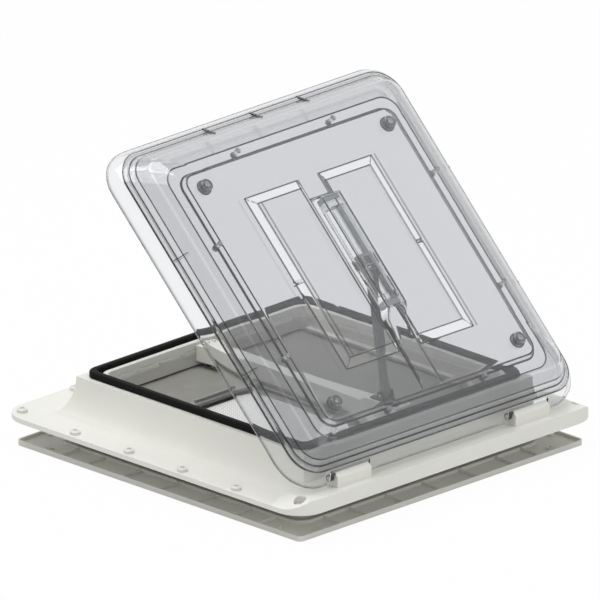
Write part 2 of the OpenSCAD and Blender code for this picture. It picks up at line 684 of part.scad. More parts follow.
module bracket_screws() color("#b9bcbf")
    for (s = [-1, 1]) translate([0, foot_y + s * (bracket_l / 2 + 1), bracket_z + bracket_t])
        pan_screw(6, 2, 3, 6);

// Bridge across the opening, from the hinge wall to the far wall: a trough open below,
// narrow in the middle and raised where the bracket stands
liner_t = 2.5;
liner_step = 2;
rim_skirt = 5;
liner_half = open_half - liner_step;
bridge_top = rim_z - bridge_drop;
bridge_z = bridge_top - bridge_h;
bridge_y0 = open_y - liner_half + seat;
bridge_y1 = open_y + liner_half - seat;
bridge_wall = 2.5;
raised_y = foot_y + bracket_l / 2 + 12;
function bridge_side(t) = [[bridge_y1 + 1, bridge_w / 2 - t], [bridge_y1 - 38, bridge_w / 2 - 4 - t],
    [bridge_y1 - 98, bridge_waist / 2 - t], [raised_y + 60, bridge_waist / 2 - t],
    [raised_y + 6, bridge_w / 2 - 2 - t], [bridge_y0 - 1, bridge_w / 2 - 2 - t]];
module bridge_form(t, end) intersection() {
    translate([0, 0, bridge_z - 2 * t]) linear_extrude(bridge_h + 20) polygon(concat(
        [for (p = bridge_side(t)) [p[1], p[0]]], [for (p = reversed(bridge_side(t))) [-p[1], p[0]]]));
    translate([-bridge_w, 0, 0]) rotate([90, 0, 90]) linear_extrude(2 * bridge_w) polygon([
        [bridge_y0 + end, bridge_z - 2 * t], [bridge_y1 - end, bridge_z - 2 * t],
        [bridge_y1 - end, bridge_top - t], [raised_y + 8, bridge_top - t],
        [raised_y, bracket_z - t], [bridge_y0 + end, bracket_z - t]]);
}
pedestal_h = 6.5;
pedestal_half = 25;
module bridge() color("#e3e3dc") difference() {
    union() {
        bridge_form(0, 0);
        translate([-pedestal_half, bridge_y0, bridge_z])
            cube([2 * pedestal_half, raised_y + 4 - bridge_y0, pedestal_h]);
    }
    bridge_form(bridge_wall, 10);
    for (s = [-1, 1]) for (y = [bridge_y0 + 5, bridge_y1 - 5])
        translate([s * 7, y, (y < 0 ? bracket_z : bridge_top) - 8]) cylinder(d = 3.1, h = 9);
    for (s = [-1, 1]) translate([0, foot_y + s * (bracket_l / 2 + 1), bracket_z - 5])
        cylinder(d = 3.1, h = 6);
}

module bridge_screws() color("#c9cbc9")
    for (s = [-1, 1]) for (y = [bridge_y0 + 5, bridge_y1 - 5])
        translate([s * 7, y, y < 0 ? bracket_z : bridge_top]) pan_screw(6.5, 2.5, 3, 7);

// Liner of the opening: its foot stands on the inner frame, and its top meets the rim's skirt
liner_foot = 7.5;
liner_top = rim_z - rim_skirt - seat;
roller_slot = 3.5;
peg_pitch = 37;
peg_n = floor((liner_half - open_r) / peg_pitch);
module wall_liner() color("#cfcfc8") difference() {
    union() {
        translate([0, open_y, 0]) ring_sweep([[0, inner_t], [0, inner_t + 2.5],
            [liner_foot, inner_t + 2.5], [liner_foot, liner_top], [liner_foot + liner_t, liner_top],
            [liner_foot + liner_t + liner_step, liner_top - rim_skirt],
            [liner_foot + liner_t + liner_step, inner_t]],
            open_half + liner_t + liner_foot, open_r + liner_t + liner_foot);
        for (i = [0:3]) for (k = [-peg_n:peg_n]) translate([0, open_y, 0]) rotate(90 * i)
            translate([liner_half - 0.01, peg_pitch * k - 1.2, liner_top - rim_skirt - 1]) cube([liner_step, 2.4, rim_skirt]);
    }
    for (s = [-1, 1]) translate([s * (cloth_x0 + cloth_x1) / 2, open_y + open_half,
            cloth_z + cloth_t / 2])
        cube([cloth_x1 - cloth_x0 + 4, 20, roller_slot], center = true);
}

// Inner frame: a plate with a lip, ribs and screw bosses, and a collar inside the spigot
collar_w = spigot_w - 2 * spigot_t - 9;
collar_h = 22;
frame_boss_in = 10;
frame_boss_side = 46;
frame_screws = [for (x = [-1, 1]) for (y = [-1, 1]) each [
    [x * (inner_w / 2 - frame_boss_in), y * (inner_w / 2 - frame_boss_side)],
    [x * (inner_w / 2 - frame_boss_side), y * (inner_w / 2 - frame_boss_in)]]];
rib_places = [-164 / 61, -2, -1, 0, 1, 2, 164 / 61] * rib_pitch;
module inner_frame() color("#dcdcd5") difference() {
    union() {
        ring(inner_w, 2 * (liner_half + liner_step + liner_t + 3), 6, 14, 0, inner_t, y = 0);
        ring(inner_w, inner_w - 5, 6, 4, 0, inner_lip_h, y = 0);
        ring(cutout_w + 7, cutout_w + 2, 22, 20, 0, inner_lip_h, y = 0);
        ring(collar_w, collar_w - 5, 18, 16, 0, collar_h, y = 0);
        for (i = [0:3]) rotate(90 * i) for (y = rib_places)
            translate([cutout_w / 2 + 2, y - rib_t / 2, 0])
                cube([inner_w / 2 - cutout_w / 2 - 3, rib_t, inner_lip_h]);
        for (p = frame_screws) translate([p[0], p[1], 0]) cylinder(d = 9, h = inner_lip_h);
    }
    for (p = frame_screws) translate([p[0], p[1], -over]) {
        cylinder(d = 3.6, h = inner_lip_h + 2 * over);
        cylinder(d = 7.4, h = over + 2.2);
    }
}

// Fly screen: a frame with a middle bar, and one net over it
screen_z = roof_z + 12;
screen_h = 8;
screen_w = 2 * (liner_half - seat);
screen_rim = 10;
module screen_frame() color("#c8c9c6") {
    ring(screen_w, screen_w - 2 * screen_rim, open_r - liner_step, 4, screen_z, screen_h);
    translate([-3, open_y - screen_w / 2 + 2, screen_z]) cube([6, screen_w - 4, screen_h]);
}

net_t = 0.8;
net_bar = 1.6;
net_w = screen_w - screen_rim;
net_px = (net_w - net_bar) / net_nx;
net_py = (net_w - net_bar) / net_ny;
module fly_screen_net() color("#b9bab8")
    translate([0, open_y, screen_z + screen_h]) linear_extrude(net_t) difference() {
        square(net_w, center = true);
        for (i = [0:net_nx - 1]) for (j = [0:net_ny - 1])
            translate([-net_w / 2 + net_bar + i * net_px, -net_w / 2 + net_bar + j * net_py])
                square([net_px - net_bar, net_py - net_bar]);
    }

// Shades: a cloth over a roller on each side, with a pull bar that runs in two guides
cloth_z = roof_z + shade_z;
cloth_t = 0.6;
cloth_x0 = 4;
cloth_x1 = liner_half - 3;
guide_wall = 1.2;
guide_w = 7.5;
guide_low = cloth_z - seat - guide_wall;
guide_high = bridge_z - seat;
bar_z = cloth_z + cloth_t + seat;
guide_half = liner_half - open_r + liner_step - 1;
module guide(x) difference() {
    translate([x, open_y - guide_half, guide_low])
        cube([guide_w, 2 * guide_half, guide_high - guide_low]);
    translate([x + (x > 0 && x < 50 || x < -50 ? guide_wall : -over), open_y - liner_half - over,
            guide_low + guide_wall])
        cube([guide_w - guide_wall + over, 2 * (liner_half + over), bar_h + cloth_t + 3 * seat]);
}
module shade_guides() color("#d2d2cc") {
    guide(0.5);
    guide(-0.5 - guide_w);
    guide(liner_half - seat - guide_w);
    guide(-liner_half + seat);
}

shade_back = open_y + liner_half;
left_y = shade_back - left_out;
right_y = open_y - liner_half + right_rest;
module pull_bar(s, y) color("#4d4f50") {
    translate([s > 0 ? cloth_x0 - 1 : -cloth_x1 - 1, y - bar_w / 2, bar_z])
        cube([cloth_x1 - cloth_x0 + 2, bar_w, bar_h]);
    translate([s * (cloth_x0 + cloth_x1) / 2 - 30, y - 1.5, bar_z + bar_h - 0.5]) cube([60, 3, 4.5]);
}
module pull_bar_left() pull_bar(-1, left_y);
module pull_bar_right() pull_bar(1, right_y);

roller_y = open_y + open_half + liner_t + roller_d / 2 + 4.5;
roller_z = cloth_z - seat - roller_d / 2;
module cloth(s, y) color("#7d7c77")
    translate([s > 0 ? cloth_x0 : -cloth_x1, y - bar_w / 2, cloth_z])
        cube([cloth_x1 - cloth_x0, roller_y - y + bar_w / 2, cloth_t]);
module shade_cloth_left() cloth(-1, left_y);
module shade_cloth_right() cloth(1, right_y);

axle_d = 4;
bracket_plate = 2;
bracket_x = [cloth_x0 - 0.6 - bracket_plate, cloth_x1 + 0.6];
module roller(s) color("#8d8f90") translate([s > 0 ? 0 : -cloth_x0 - cloth_x1, roller_y, roller_z])
    rotate([0, 90, 0]) {
        translate([0, 0, cloth_x0]) cylinder(d = roller_d, h = cloth_x1 - cloth_x0);
        translate([0, 0, cloth_x0 - 3]) cylinder(d = axle_d, h = cloth_x1 - cloth_x0 + 6);
    }
module roller_left() roller(-1);
module roller_right() roller(1);

module roller_brackets() color("#9a9c9c") for (s = [-1, 1]) for (x = bracket_x)
    translate([s > 0 ? x : -x - bracket_plate, 0, 0]) difference() {
        translate([0, open_y + open_half + liner_t + seat, roller_z - roller_d / 2 - 1])
            cube([bracket_plate, roller_d + 7, roller_d + 1]);
        translate([-over, roller_y, roller_z]) rotate([0, 90, 0])
            cylinder(d = axle_d + 2 * run, h = bracket_plate + 2 * over);
    }

outer_frame();
lid_seal();
flange_screws();
hinge_block_left();
hinge_block_right();
hinge_block_screws();
hinge_pins();
lid_hinge_eyes();
lid_outer_dome();
lid_inner_pane();
pane_bosses();
pane_screws();
pane_clips();
slide_rail();
rail_end_clips();
arm_slider();
slider_latch();
support_arm();
arm_top_pin();
arm_foot_pin();
arm_bracket();
bracket_screws();
bridge();
bridge_screws();
wall_liner();
inner_frame();
screen_frame();
fly_screen_net();
shade_guides();
shade_cloth_left();
shade_cloth_right();
pull_bar_left();
pull_bar_right();
roller_left();
roller_right();
roller_brackets();
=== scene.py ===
import json
import math

import bmesh
import bpy
from mathutils import Matrix, Vector


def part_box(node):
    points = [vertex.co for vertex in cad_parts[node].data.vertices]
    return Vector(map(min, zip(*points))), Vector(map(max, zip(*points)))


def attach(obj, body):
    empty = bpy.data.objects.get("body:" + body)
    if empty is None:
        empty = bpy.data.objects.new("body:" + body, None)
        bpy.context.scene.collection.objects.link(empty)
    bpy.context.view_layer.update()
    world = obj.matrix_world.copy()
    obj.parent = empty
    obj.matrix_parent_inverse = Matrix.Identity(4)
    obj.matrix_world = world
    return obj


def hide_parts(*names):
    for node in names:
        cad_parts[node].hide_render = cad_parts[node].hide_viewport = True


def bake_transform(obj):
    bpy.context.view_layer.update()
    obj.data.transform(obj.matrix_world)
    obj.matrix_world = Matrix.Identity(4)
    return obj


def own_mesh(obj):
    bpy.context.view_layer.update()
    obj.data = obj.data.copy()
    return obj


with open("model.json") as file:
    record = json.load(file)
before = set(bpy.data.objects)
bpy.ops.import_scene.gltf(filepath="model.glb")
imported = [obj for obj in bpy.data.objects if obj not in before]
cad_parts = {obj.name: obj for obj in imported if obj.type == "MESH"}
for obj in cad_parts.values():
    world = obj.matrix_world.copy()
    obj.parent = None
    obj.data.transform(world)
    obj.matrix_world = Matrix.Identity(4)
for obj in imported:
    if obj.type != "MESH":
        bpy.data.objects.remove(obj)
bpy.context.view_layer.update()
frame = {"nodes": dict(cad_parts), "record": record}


# The view: an orthographic camera at the photograph's angle, a white paper sweep,
# a soft key lamp overhead, a weak fill on the hinge side and an even sky.
def add(tree, kind, inputs=None, **settings):
    """Adds a node with its settings; an input is a value, or a socket to link from."""
    made = tree.nodes.new(kind)
    for name, value in settings.items():
        setattr(made, name, value)
    for name, value in (inputs or {}).items():
        if isinstance(value, bpy.types.NodeSocket):
            tree.links.new(value, made.inputs[name])
        else:
            made.inputs[name].default_value = value
    return made


def linear(code):
    """The linear colour of an sRGB hex code."""
    parts = [int(code[i:i + 2], 16) / 255 for i in (1, 3, 5)]
    return [p / 12.92 if p <= 0.04045 else ((p + 0.055) / 1.055) ** 2.4 for p in parts] + [1.0]


def finish_tree(name):
    """A new material and its empty tree."""
    made = bpy.data.materials.new(name)
    made.use_nodes = True
    made.node_tree.nodes.clear()
    return made, made.node_tree


scene = bpy.context.scene
scene.view_settings.view_transform = "Standard"
camera_data = bpy.data.cameras.new("camera")
camera_data.type = "ORTHO"
camera_data.ortho_scale = 0.7055
camera_data.clip_end = 20
camera = bpy.data.objects.new("camera", camera_data)
scene.collection.objects.link(camera)
view_turn, view_rise, view_aim = math.radians(-45), math.radians(20.21), Vector((0, 0, 0.181))
CAMERA_AWAY = 4.0
toward = Vector((math.cos(view_rise) * math.sin(view_turn), -math.cos(view_rise) * math.cos(view_turn),
                 math.sin(view_rise)))
camera.location = view_aim + CAMERA_AWAY * toward
camera.rotation_euler = toward.to_track_quat("Z", "Y").to_euler()
scene.camera = camera

# The sky lights the vent weakly, and shows as white to the eye, in gloss and through glass
SKY_LIGHT = 0.55
world = bpy.data.worlds.new("studio")
scene.world = world
world.use_nodes = True
sky = world.node_tree
sky.nodes.clear()
path = add(sky, "ShaderNodeLightPath")
seen = add(sky, "ShaderNodeMath", {0: path.outputs["Is Camera Ray"], 1: path.outputs["Is Glossy Ray"]},
           operation="MAXIMUM")
seen = add(sky, "ShaderNodeMath", {0: seen.outputs[0], 1: path.outputs["Is Transmission Ray"]},
           operation="MAXIMUM")
light = add(sky, "ShaderNodeBackground", {"Color": linear("#ffffff"), "Strength": SKY_LIGHT})
white = add(sky, "ShaderNodeBackground", {"Color": linear("#ffffff"), "Strength": 1.0})
both = add(sky, "ShaderNodeMixShader", {0: seen.outputs[0], 1: light.outputs[0], 2: white.outputs[0]})
add(sky, "ShaderNodeOutputWorld", {"Surface": both.outputs[0]})

LIT_POINT = Vector((0, 0, 0.1))
for name, place, size, power in (("key", (-0.6, 0.3, 3.3), 2.6, 72), ("fill", (0.3, -2.9, 1.0), 2.0, 12)):
    lamp = bpy.data.lights.new(name, "AREA")
    lamp.size = size
    lamp.energy = power
    holder = bpy.data.objects.new(name, lamp)
    holder.location = place
    holder.rotation_euler = (Vector(place) - LIT_POINT).to_track_quat("Z", "Y").to_euler()
    scene.collection.objects.link(holder)

FLOOR_HALF, FLOOR_LEVEL = 6.0, -0.0005
floor_mesh = bpy.data.meshes.new("floor")
corners = [(x * FLOOR_HALF, y * FLOOR_HALF, FLOOR_LEVEL) for x, y in ((-1, -1), (1, -1), (1, 1), (-1, 1))]
floor_mesh.from_pydata(corners, [], [(0, 1, 2, 3)])
floor = bpy.data.objects.new("floor", floor_mesh)
scene.collection.objects.link(floor)
# Matt paper: it glows white where it is looked at, and a small share still takes the shadow
GLOW_SHARE = 0.97
paper, tree = finish_tree("white paper sweep")
path = add(tree, "ShaderNodeLightPath")
seen = add(tree, "ShaderNodeMath", {0: path.outputs["Is Camera Ray"], 1: path.outputs["Is Transmission Ray"]},
           operation="MAXIMUM")
seen = add(tree, "ShaderNodeMath", {0: seen.outputs[0], 1: GLOW_SHARE}, operation="MULTIPLY")
matte = add(tree, "ShaderNodeBsdfDiffuse", {"Color": linear("#e6e6e6")})
glow = add(tree, "ShaderNodeEmission", {"Color": linear("#ffffff"), "Strength": 1.0})
both = add(tree, "ShaderNodeMixShader", {0: seen.outputs[0], 1: matte.outputs[0], 2: glow.outputs[0]})
add(tree, "ShaderNodeOutputMaterial", {"Surface": both.outputs[0]})
floor_mesh.materials.append(paper)


# Outer frame: one white ABS moulding, flange, hinge ledge, flared upstand and
# lipped rim in a piece. It lies on the roof, under the screws, and its spigot
# centres it in the roof's hole.

# CAD corners nearer than this are one corner
MERGE = 0.00002
home = {node: body for body, nodes in frame["record"]["behaviour"]["bodies"].items() for node in nodes}


def stand_for(piece, finish, *nodes):
    """Gives a finished piece its material and body, and hides the nodes it stands for."""
    piece.data.materials.clear()
    piece.data.materials.append(finish)
    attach(piece, home[nodes[0]])
    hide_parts(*nodes)
    return piece


def make_plain(piece):
    """Turns an object and its modifiers into a plain mesh."""
    scene.view_layers[0].update()
    piece.data = bpy.data.meshes.new_from_object(piece.evaluated_get(bpy.context.evaluated_depsgraph_get()))
    piece.modifiers.clear()


def settle(piece, sharp=32):
    """Makes a piece a plain mesh at the origin, smooth but for edges sharper than an angle."""
    make_plain(piece)
    piece.data.transform(piece.matrix_world)
    piece.matrix_world = Matrix.Identity(4)
    piece.data.shade_smooth()
    piece.data.set_sharp_from_angle(angle=math.radians(sharp))
    return piece


def new_piece(name, made):
    """An object of a bmesh, which it frees."""
    mesh = bpy.data.meshes.new(name)
    made.to_mesh(mesh)
    made.free()
    piece = bpy.data.objects.new(name, mesh)
    scene.collection.objects.link(piece)
    return piece


def rounded(node, finish, width):
    """A copy of a CAD node whose edges have the small radius that a mould or tool leaves.

    Weighted normals keep its flat faces even, so that only the edges catch the light."""
    made = bmesh.new()
    made.from_mesh(frame["nodes"][node].data)
    bmesh.ops.remove_doubles(made, verts=made.verts, dist=MERGE)
    bmesh.ops.dissolve_limit(made, angle_limit=math.radians(0.6), verts=made.verts, edges=made.edges)
    piece = new_piece(node + "_rounded", made)
    edge = piece.modifiers.new("edges", "BEVEL")
    edge.width = width
    edge.segments = 2
    edge.limit_method = "ANGLE"
    edge.angle_limit = math.radians(38)
    settle(piece)
    even = piece.modifiers.new("flat faces", "WEIGHTED_NORMAL")
    even.keep_sharp = True
    make_plain(piece)
    return stand_for(piece, finish, node)


def moulded(name, code, rough, grain, relief, drift=0.04, ior=1.54, gloss=0.5):
    """A moulded plastic: a matt grained skin with a little relief, and a faint drift of tone.

    ABS is near IOR 1.54 and nylon near 1.53. A mould's grain is really about 0.25 mm, and is
    drawn at 1.1 mm or more so that it shows."""
    made, tree = finish_tree(name)
    place = add(tree, "ShaderNodeTexCoord")
    broad = add(tree, "ShaderNodeTexNoise", {"Vector": place.outputs["Object"], "Scale": 14.0, "Detail": 3.0})
    pits = add(tree, "ShaderNodeTexNoise", {"Vector": place.outputs["Object"], "Scale": 1 / grain, "Detail": 2.0})
    tone = linear(code)
    darker = [c * (1 - drift) for c in tone[:3]] + [1.0]
    lighter = [min(c * (1 + drift), 1) for c in tone[:3]] + [1.0]
    tint = add(tree, "ShaderNodeMix", {0: broad.outputs["Fac"], 6: darker, 7: lighter}, data_type="RGBA")
    shine = add(tree, "ShaderNodeMapRange", {"Value": pits.outputs["Fac"], "To Min": rough - 0.06,
                                             "To Max": rough + 0.08})
    skin = add(tree, "ShaderNodeBump", {"Height": pits.outputs["Fac"], "Strength": 0.5, "Distance": relief})
    body = add(tree, "ShaderNodeBsdfPrincipled", {
        "Base Color": tint.outputs[2], "Roughness": shine.outputs[0], "Normal": skin.outputs[0], "IOR": ior,
        "Specular IOR Level": gloss})
    add(tree, "ShaderNodeOutputMaterial", {"Surface": body.outputs[0]})
    return made


# ABS from a spark-eroded mould: warm white and matt, with a broad soft highlight
frame_abs = moulded("white ABS, spark-eroded grain", "#e4e4dd", rough=0.42, grain=0.0011, relief=0.00006)
rounded("outer_frame", frame_abs, width=0.0013)


# Flange screws: sixteen cross-head pan screws of white lacquered steel, driven
# through the flange into the roof. Each stopped turning where it came tight.
def float_in(face, label, value, kind="NodeSocketFloat"):
    """Adds a named input with its value to a tree."""
    made = face.new_socket(label, in_out="INPUT", socket_type=kind)
    made.default_value = value
    return made


CROWN_FALL, CROWN_POWER = 0.34, 4.5
SLOT_LONG, SLOT_WIDE = 1.05, 0.2

screw_tree = bpy.data.node_groups.new("cross-head screws", "GeometryNodeTree")
face = screw_tree.interface
face.new_socket("Places", in_out="INPUT", socket_type="NodeSocketGeometry")
screw_inputs = {label: float_in(face, label, value).identifier for label, value in (
    ("Head radius", 0.0065), ("Head height", 0.005), ("Shank radius", 0.002), ("Shank length", 0.006),
    ("Tilt", 0.0))}
screw_inputs["Seed"] = float_in(face, "Seed", 1, "NodeSocketInt").identifier
screw_inputs["Finish"] = face.new_socket("Finish", in_out="INPUT", socket_type="NodeSocketMaterial").identifier
face.new_socket("Screws", in_out="OUTPUT", socket_type="NodeSocketGeometry")
given = add(screw_tree, "NodeGroupInput").outputs
head = add(screw_tree, "GeometryNodeMeshCylinder", {
    "Vertices": 28, "Side Segments": 2, "Fill Segments": 5, "Radius": given["Head radius"],
    "Depth": given["Head height"]})
half_up = add(screw_tree, "ShaderNodeMath", {0: given["Head height"], 1: 0.5}, operation="MULTIPLY")
lift = add(screw_tree, "ShaderNodeCombineXYZ", {"Z": half_up.outputs[0]})
head = add(screw_tree, "GeometryNodeTransform", {"Geometry": head.outputs["Mesh"], "Translation": lift.outputs[0]})
# The pan head's flat crown falls off towards its edge
spot = add(screw_tree, "GeometryNodeInputPosition")
axes = add(screw_tree, "ShaderNodeSeparateXYZ", {0: spot.outputs[0]})
flat = add(screw_tree, "ShaderNodeCombineXYZ", {"X": axes.outputs["X"], "Y": axes.outputs["Y"]})
reach = add(screw_tree, "ShaderNodeVectorMath", {0: flat.outputs[0]}, operation="LENGTH")
reach = add(screw_tree, "ShaderNodeMath", {0: reach.outputs["Value"], 1: given["Head radius"]}, operation="DIVIDE")
fall = add(screw_tree, "ShaderNodeMath", {0: reach.outputs[0], 1: CROWN_POWER}, operation="POWER")
fall = add(screw_tree, "ShaderNodeMath", {0: fall.outputs[0], 1: -CROWN_FALL, 2: 1.0}, operation="MULTIPLY_ADD")
level = add(screw_tree, "ShaderNodeMath", {0: axes.outputs["Z"], 1: fall.outputs[0]}, operation="MULTIPLY")
domed = add(screw_tree, "ShaderNodeCombineXYZ", {
    "X": axes.outputs["X"], "Y": axes.outputs["Y"], "Z": level.outputs[0]})
head = add(screw_tree, "GeometryNodeSetPosition", {"Geometry": head.outputs[0], "Position": domed.outputs[0]})
# The cross recess is cut by two bars, which are shares of the head's radius
slots = []
for long, wide in ((SLOT_LONG, SLOT_WIDE), (SLOT_WIDE, SLOT_LONG)):
    size = [add(screw_tree, "ShaderNodeMath", {0: given["Head radius"], 1: share}, operation="MULTIPLY").outputs[0]
            for share in (long, wide)]
    size = add(screw_tree, "ShaderNodeCombineXYZ", {"X": size[0], "Y": size[1], "Z": given["Head height"]})
    bar = add(screw_tree, "GeometryNodeMeshCube", {"Size": size.outputs[0]})
    top = add(screw_tree, "ShaderNodeCombineXYZ", {"Z": given["Head height"]})
    slots.append(add(screw_tree, "GeometryNodeTransform", {
        "Geometry": bar.outputs["Mesh"], "Translation": top.outputs[0]}))
cut = head
for slot_bar in slots:
    cut = add(screw_tree, "GeometryNodeMeshBoolean", {"Mesh 1": cut.outputs[0], "Mesh 2": slot_bar.outputs[0]},
              operation="DIFFERENCE", solver="EXACT")
shank = add(screw_tree, "GeometryNodeMeshCylinder", {
    "Vertices": 16, "Radius": given["Shank radius"], "Depth": given["Shank length"]})
drop = add(screw_tree, "ShaderNodeMath", {0: given["Shank length"], 1: -0.5}, operation="MULTIPLY")
drop = add(screw_tree, "ShaderNodeCombineXYZ", {"Z": drop.outputs[0]})
shank = add(screw_tree, "GeometryNodeTransform", {"Geometry": shank.outputs["Mesh"], "Translation": drop.outputs[0]})
screw = add(screw_tree, "GeometryNodeJoinGeometry")
for part in (cut, shank):
    screw_tree.links.new(part.outputs[0], screw.inputs[0])
turned = add(screw_tree, "ShaderNodeCombineXYZ", {"X": given["Tilt"]})
set_out = add(screw_tree, "GeometryNodeInstanceOnPoints", {
    "Points": given["Places"], "Instance": screw.outputs[0], "Rotation": turned.outputs[0]})
# Each screw has stopped at its own turn, within a quarter
turn = add(screw_tree, "FunctionNodeRandomValue", {"Min": 0.0, "Max": 1.57, "Seed": given["Seed"]},
           data_type="FLOAT")
about = add(screw_tree, "ShaderNodeCombineXYZ", {"Z": turn.outputs["Value"]})
set_out = add(screw_tree, "GeometryNodeRotateInstances", {
    "Instances": set_out.outputs[0], "Rotation": about.outputs[0]})
plain_mesh = add(screw_tree, "GeometryNodeRealizeInstances", {"Geometry": set_out.outputs[0]})
plain_mesh = add(screw_tree, "GeometryNodeSetMaterial", {
    "Geometry": plain_mesh.outputs[0], "Material": given["Finish"]})
add(screw_tree, "NodeGroupOutput", {"Screws": plain_mesh.outputs[0]})


def islands(node, turn=None):
    """The lowest and highest corner of each loose part of a node, in the frame before turn."""
    made = bmesh.new()
    made.from_mesh(frame["nodes"][node].data)
    bmesh.ops.remove_doubles(made, verts=made.verts, dist=MERGE)
    if turn:
        made.transform(turn.inverted())
    found, seen_verts = [], set()
    for start in made.verts:
        if start in seen_verts:
            continue
        group, queue = [], [start]
        seen_verts.add(start)
        while queue:
            vert = queue.pop()
            group.append(vert.co.copy())
            for link in vert.link_edges:
                other = link.other_vert(vert)
                if other not in seen_verts:
                    seen_verts.add(other)
                    queue.append(other)
        found.append([Vector([pick(co[i] for co in group) for i in range(3)]) for pick in (min, max)])
    made.free()
    return found


def screws(node, finish, seed, head_height, shank, upward=True, turn=None):
    """Stands a cross-head screw in the place of each of a node's, given its shank's radius."""
    boxes = islands(node, turn)
    made = bmesh.new()
    for low, high in boxes:
        level = high.z - head_height if upward else low.z + head_height
        made.verts.new(((low.x + high.x) / 2, (low.y + high.y) / 2, level))
    piece = new_piece(node + "_cross_head", made)
    grow = piece.modifiers.new("screws", "NODES")
    grow.node_group = screw_tree
    low, high = boxes[0]
    sizes = {"Head radius": (high.x - low.x) / 2, "Head height": head_height, "Shank radius": shank,
             "Shank length": high.z - low.z - head_height, "Tilt": 0.0 if upward else math.pi, "Seed": seed,
             "Finish": finish}
    for label, value in sizes.items():
        grow[screw_inputs[label]] = value
    settle(piece)
    if turn:
        piece.data.transform(turn)
    return stand_for(piece, finish, node)


# Lacquer over steel: a shade greyer and smoother than the moulding under it
screw_lacquer = moulded("white lacquered steel", "#d9d9d3", rough=0.3, grain=0.004, relief=0.00002)
screws("flange_screws", screw_lacquer, seed=4, head_height=0.005, shank=0.00225)


# Lid seal: a black EPDM section glued on the rim, which the closed lid squeezes.
# Extruded rubber is near black and matt, with fine pores and a faint grey bloom.
seal_rubber = moulded("black EPDM, extruded", "#0b0b0c", rough=0.6, grain=0.0016, relief=0.0001,
                      drift=0.18, ior=1.52, gloss=0.1)
rounded("lid_seal", seal_rubber, width=0.0012)


# Hinges: white ABS blocks screwed down on the ledge, a steel pin through each,
# and the dark nylon eyes that carry the lid at the pins' ends.

# Glass-filled nylon: the fibres dull it, and cloud its black to a dark grey
nylon_dark = moulded("black glass-filled nylon", "#3a3c3e", rough=0.5, grain=0.0012, relief=0.00005,
                     drift=0.1, ior=1.53)
# Passivated zinc plate: a bright metal, clouded from bluish to straw in patches of about 6 mm
zinc, tree = finish_tree("zinc-plated steel, passivated")
place = add(tree, "ShaderNodeTexCoord")
cloud = add(tree, "ShaderNodeTexNoise", {"Vector": place.outputs["Object"], "Scale": 160.0, "Detail": 4.0})
blue = add(tree, "ShaderNodeMix", {0: cloud.outputs["Fac"], 6: linear("#b4b8bd"), 7: linear("#cfcfc8")},
           data_type="RGBA")
haze = add(tree, "ShaderNodeMapRange", {"Value": cloud.outputs["Fac"], "To Min": 0.24, "To Max": 0.44})
coat = add(tree, "ShaderNodeBsdfPrincipled", {
    "Base Color": blue.outputs[2], "Roughness": haze.outputs[0], "Metallic": 1.0})
add(tree, "ShaderNodeOutputMaterial", {"Surface": coat.outputs[0]})
for side in ("left", "right"):
    rounded("hinge_block_" + side, frame_abs, width=0.0006)
screws("hinge_block_screws", zinc, seed=9, head_height=0.003, shank=0.002, upward=False)
rounded("hinge_pins", zinc, width=0.0004)
rounded("lid_hinge_eyes", nylon_dark, width=0.0005)


# Inner pane: clear acrylic 2.5 mm thick, vacuum formed with a flat face for the
# seal, a channel for the rail and arm, and two raised fields that stiffen it. It
# is cemented to the dome along its rim. Its bends are painted with the dark lines of
# shade that a bend seen through its thickness shows.
hinge_at = Vector((0, -0.229, 0.065))
# The lid's pieces are shaped closed, and turned open about the hinge pins
lid_turn = (Matrix.Translation(hinge_at) @ Matrix.Rotation(math.radians(44.8), 4, "X")
            @ Matrix.Translation(-hinge_at))
LID_LEVEL = 0.059
# A sheet's grid runs from -1 to 1, and the last share of each side bends round its corner
CORNER_SHARE = 0.15
corner_lines = [1 - CORNER_SHARE + CORNER_SHARE * step / 5 for step in range(6)]


def both_sides(lines):
    """A grid's lines with their mirror images, in order."""
    return sorted({side * line for side in (-1, 1) for line in lines})


def edge_point(u, v, half_x, half_y, radius):
    """A point on a rounded rectangle, from its place on a square's edge."""
    run, turn = 1 - CORNER_SHARE, math.pi / 4 / CORNER_SHARE
    if abs(u) > abs(v):
        flip = edge_point(v, u, half_y, half_x, radius)
        return flip[1], flip[0]
    side = math.copysign(1, v)
    if abs(u) <= run:
        return u / run * (half_x - radius), side * half_y
    angle = (abs(u) - run) * turn
    return (math.copysign(half_x - radius + radius * math.sin(angle), u),
            side * (half_y - radius + radius * math.cos(angle)))


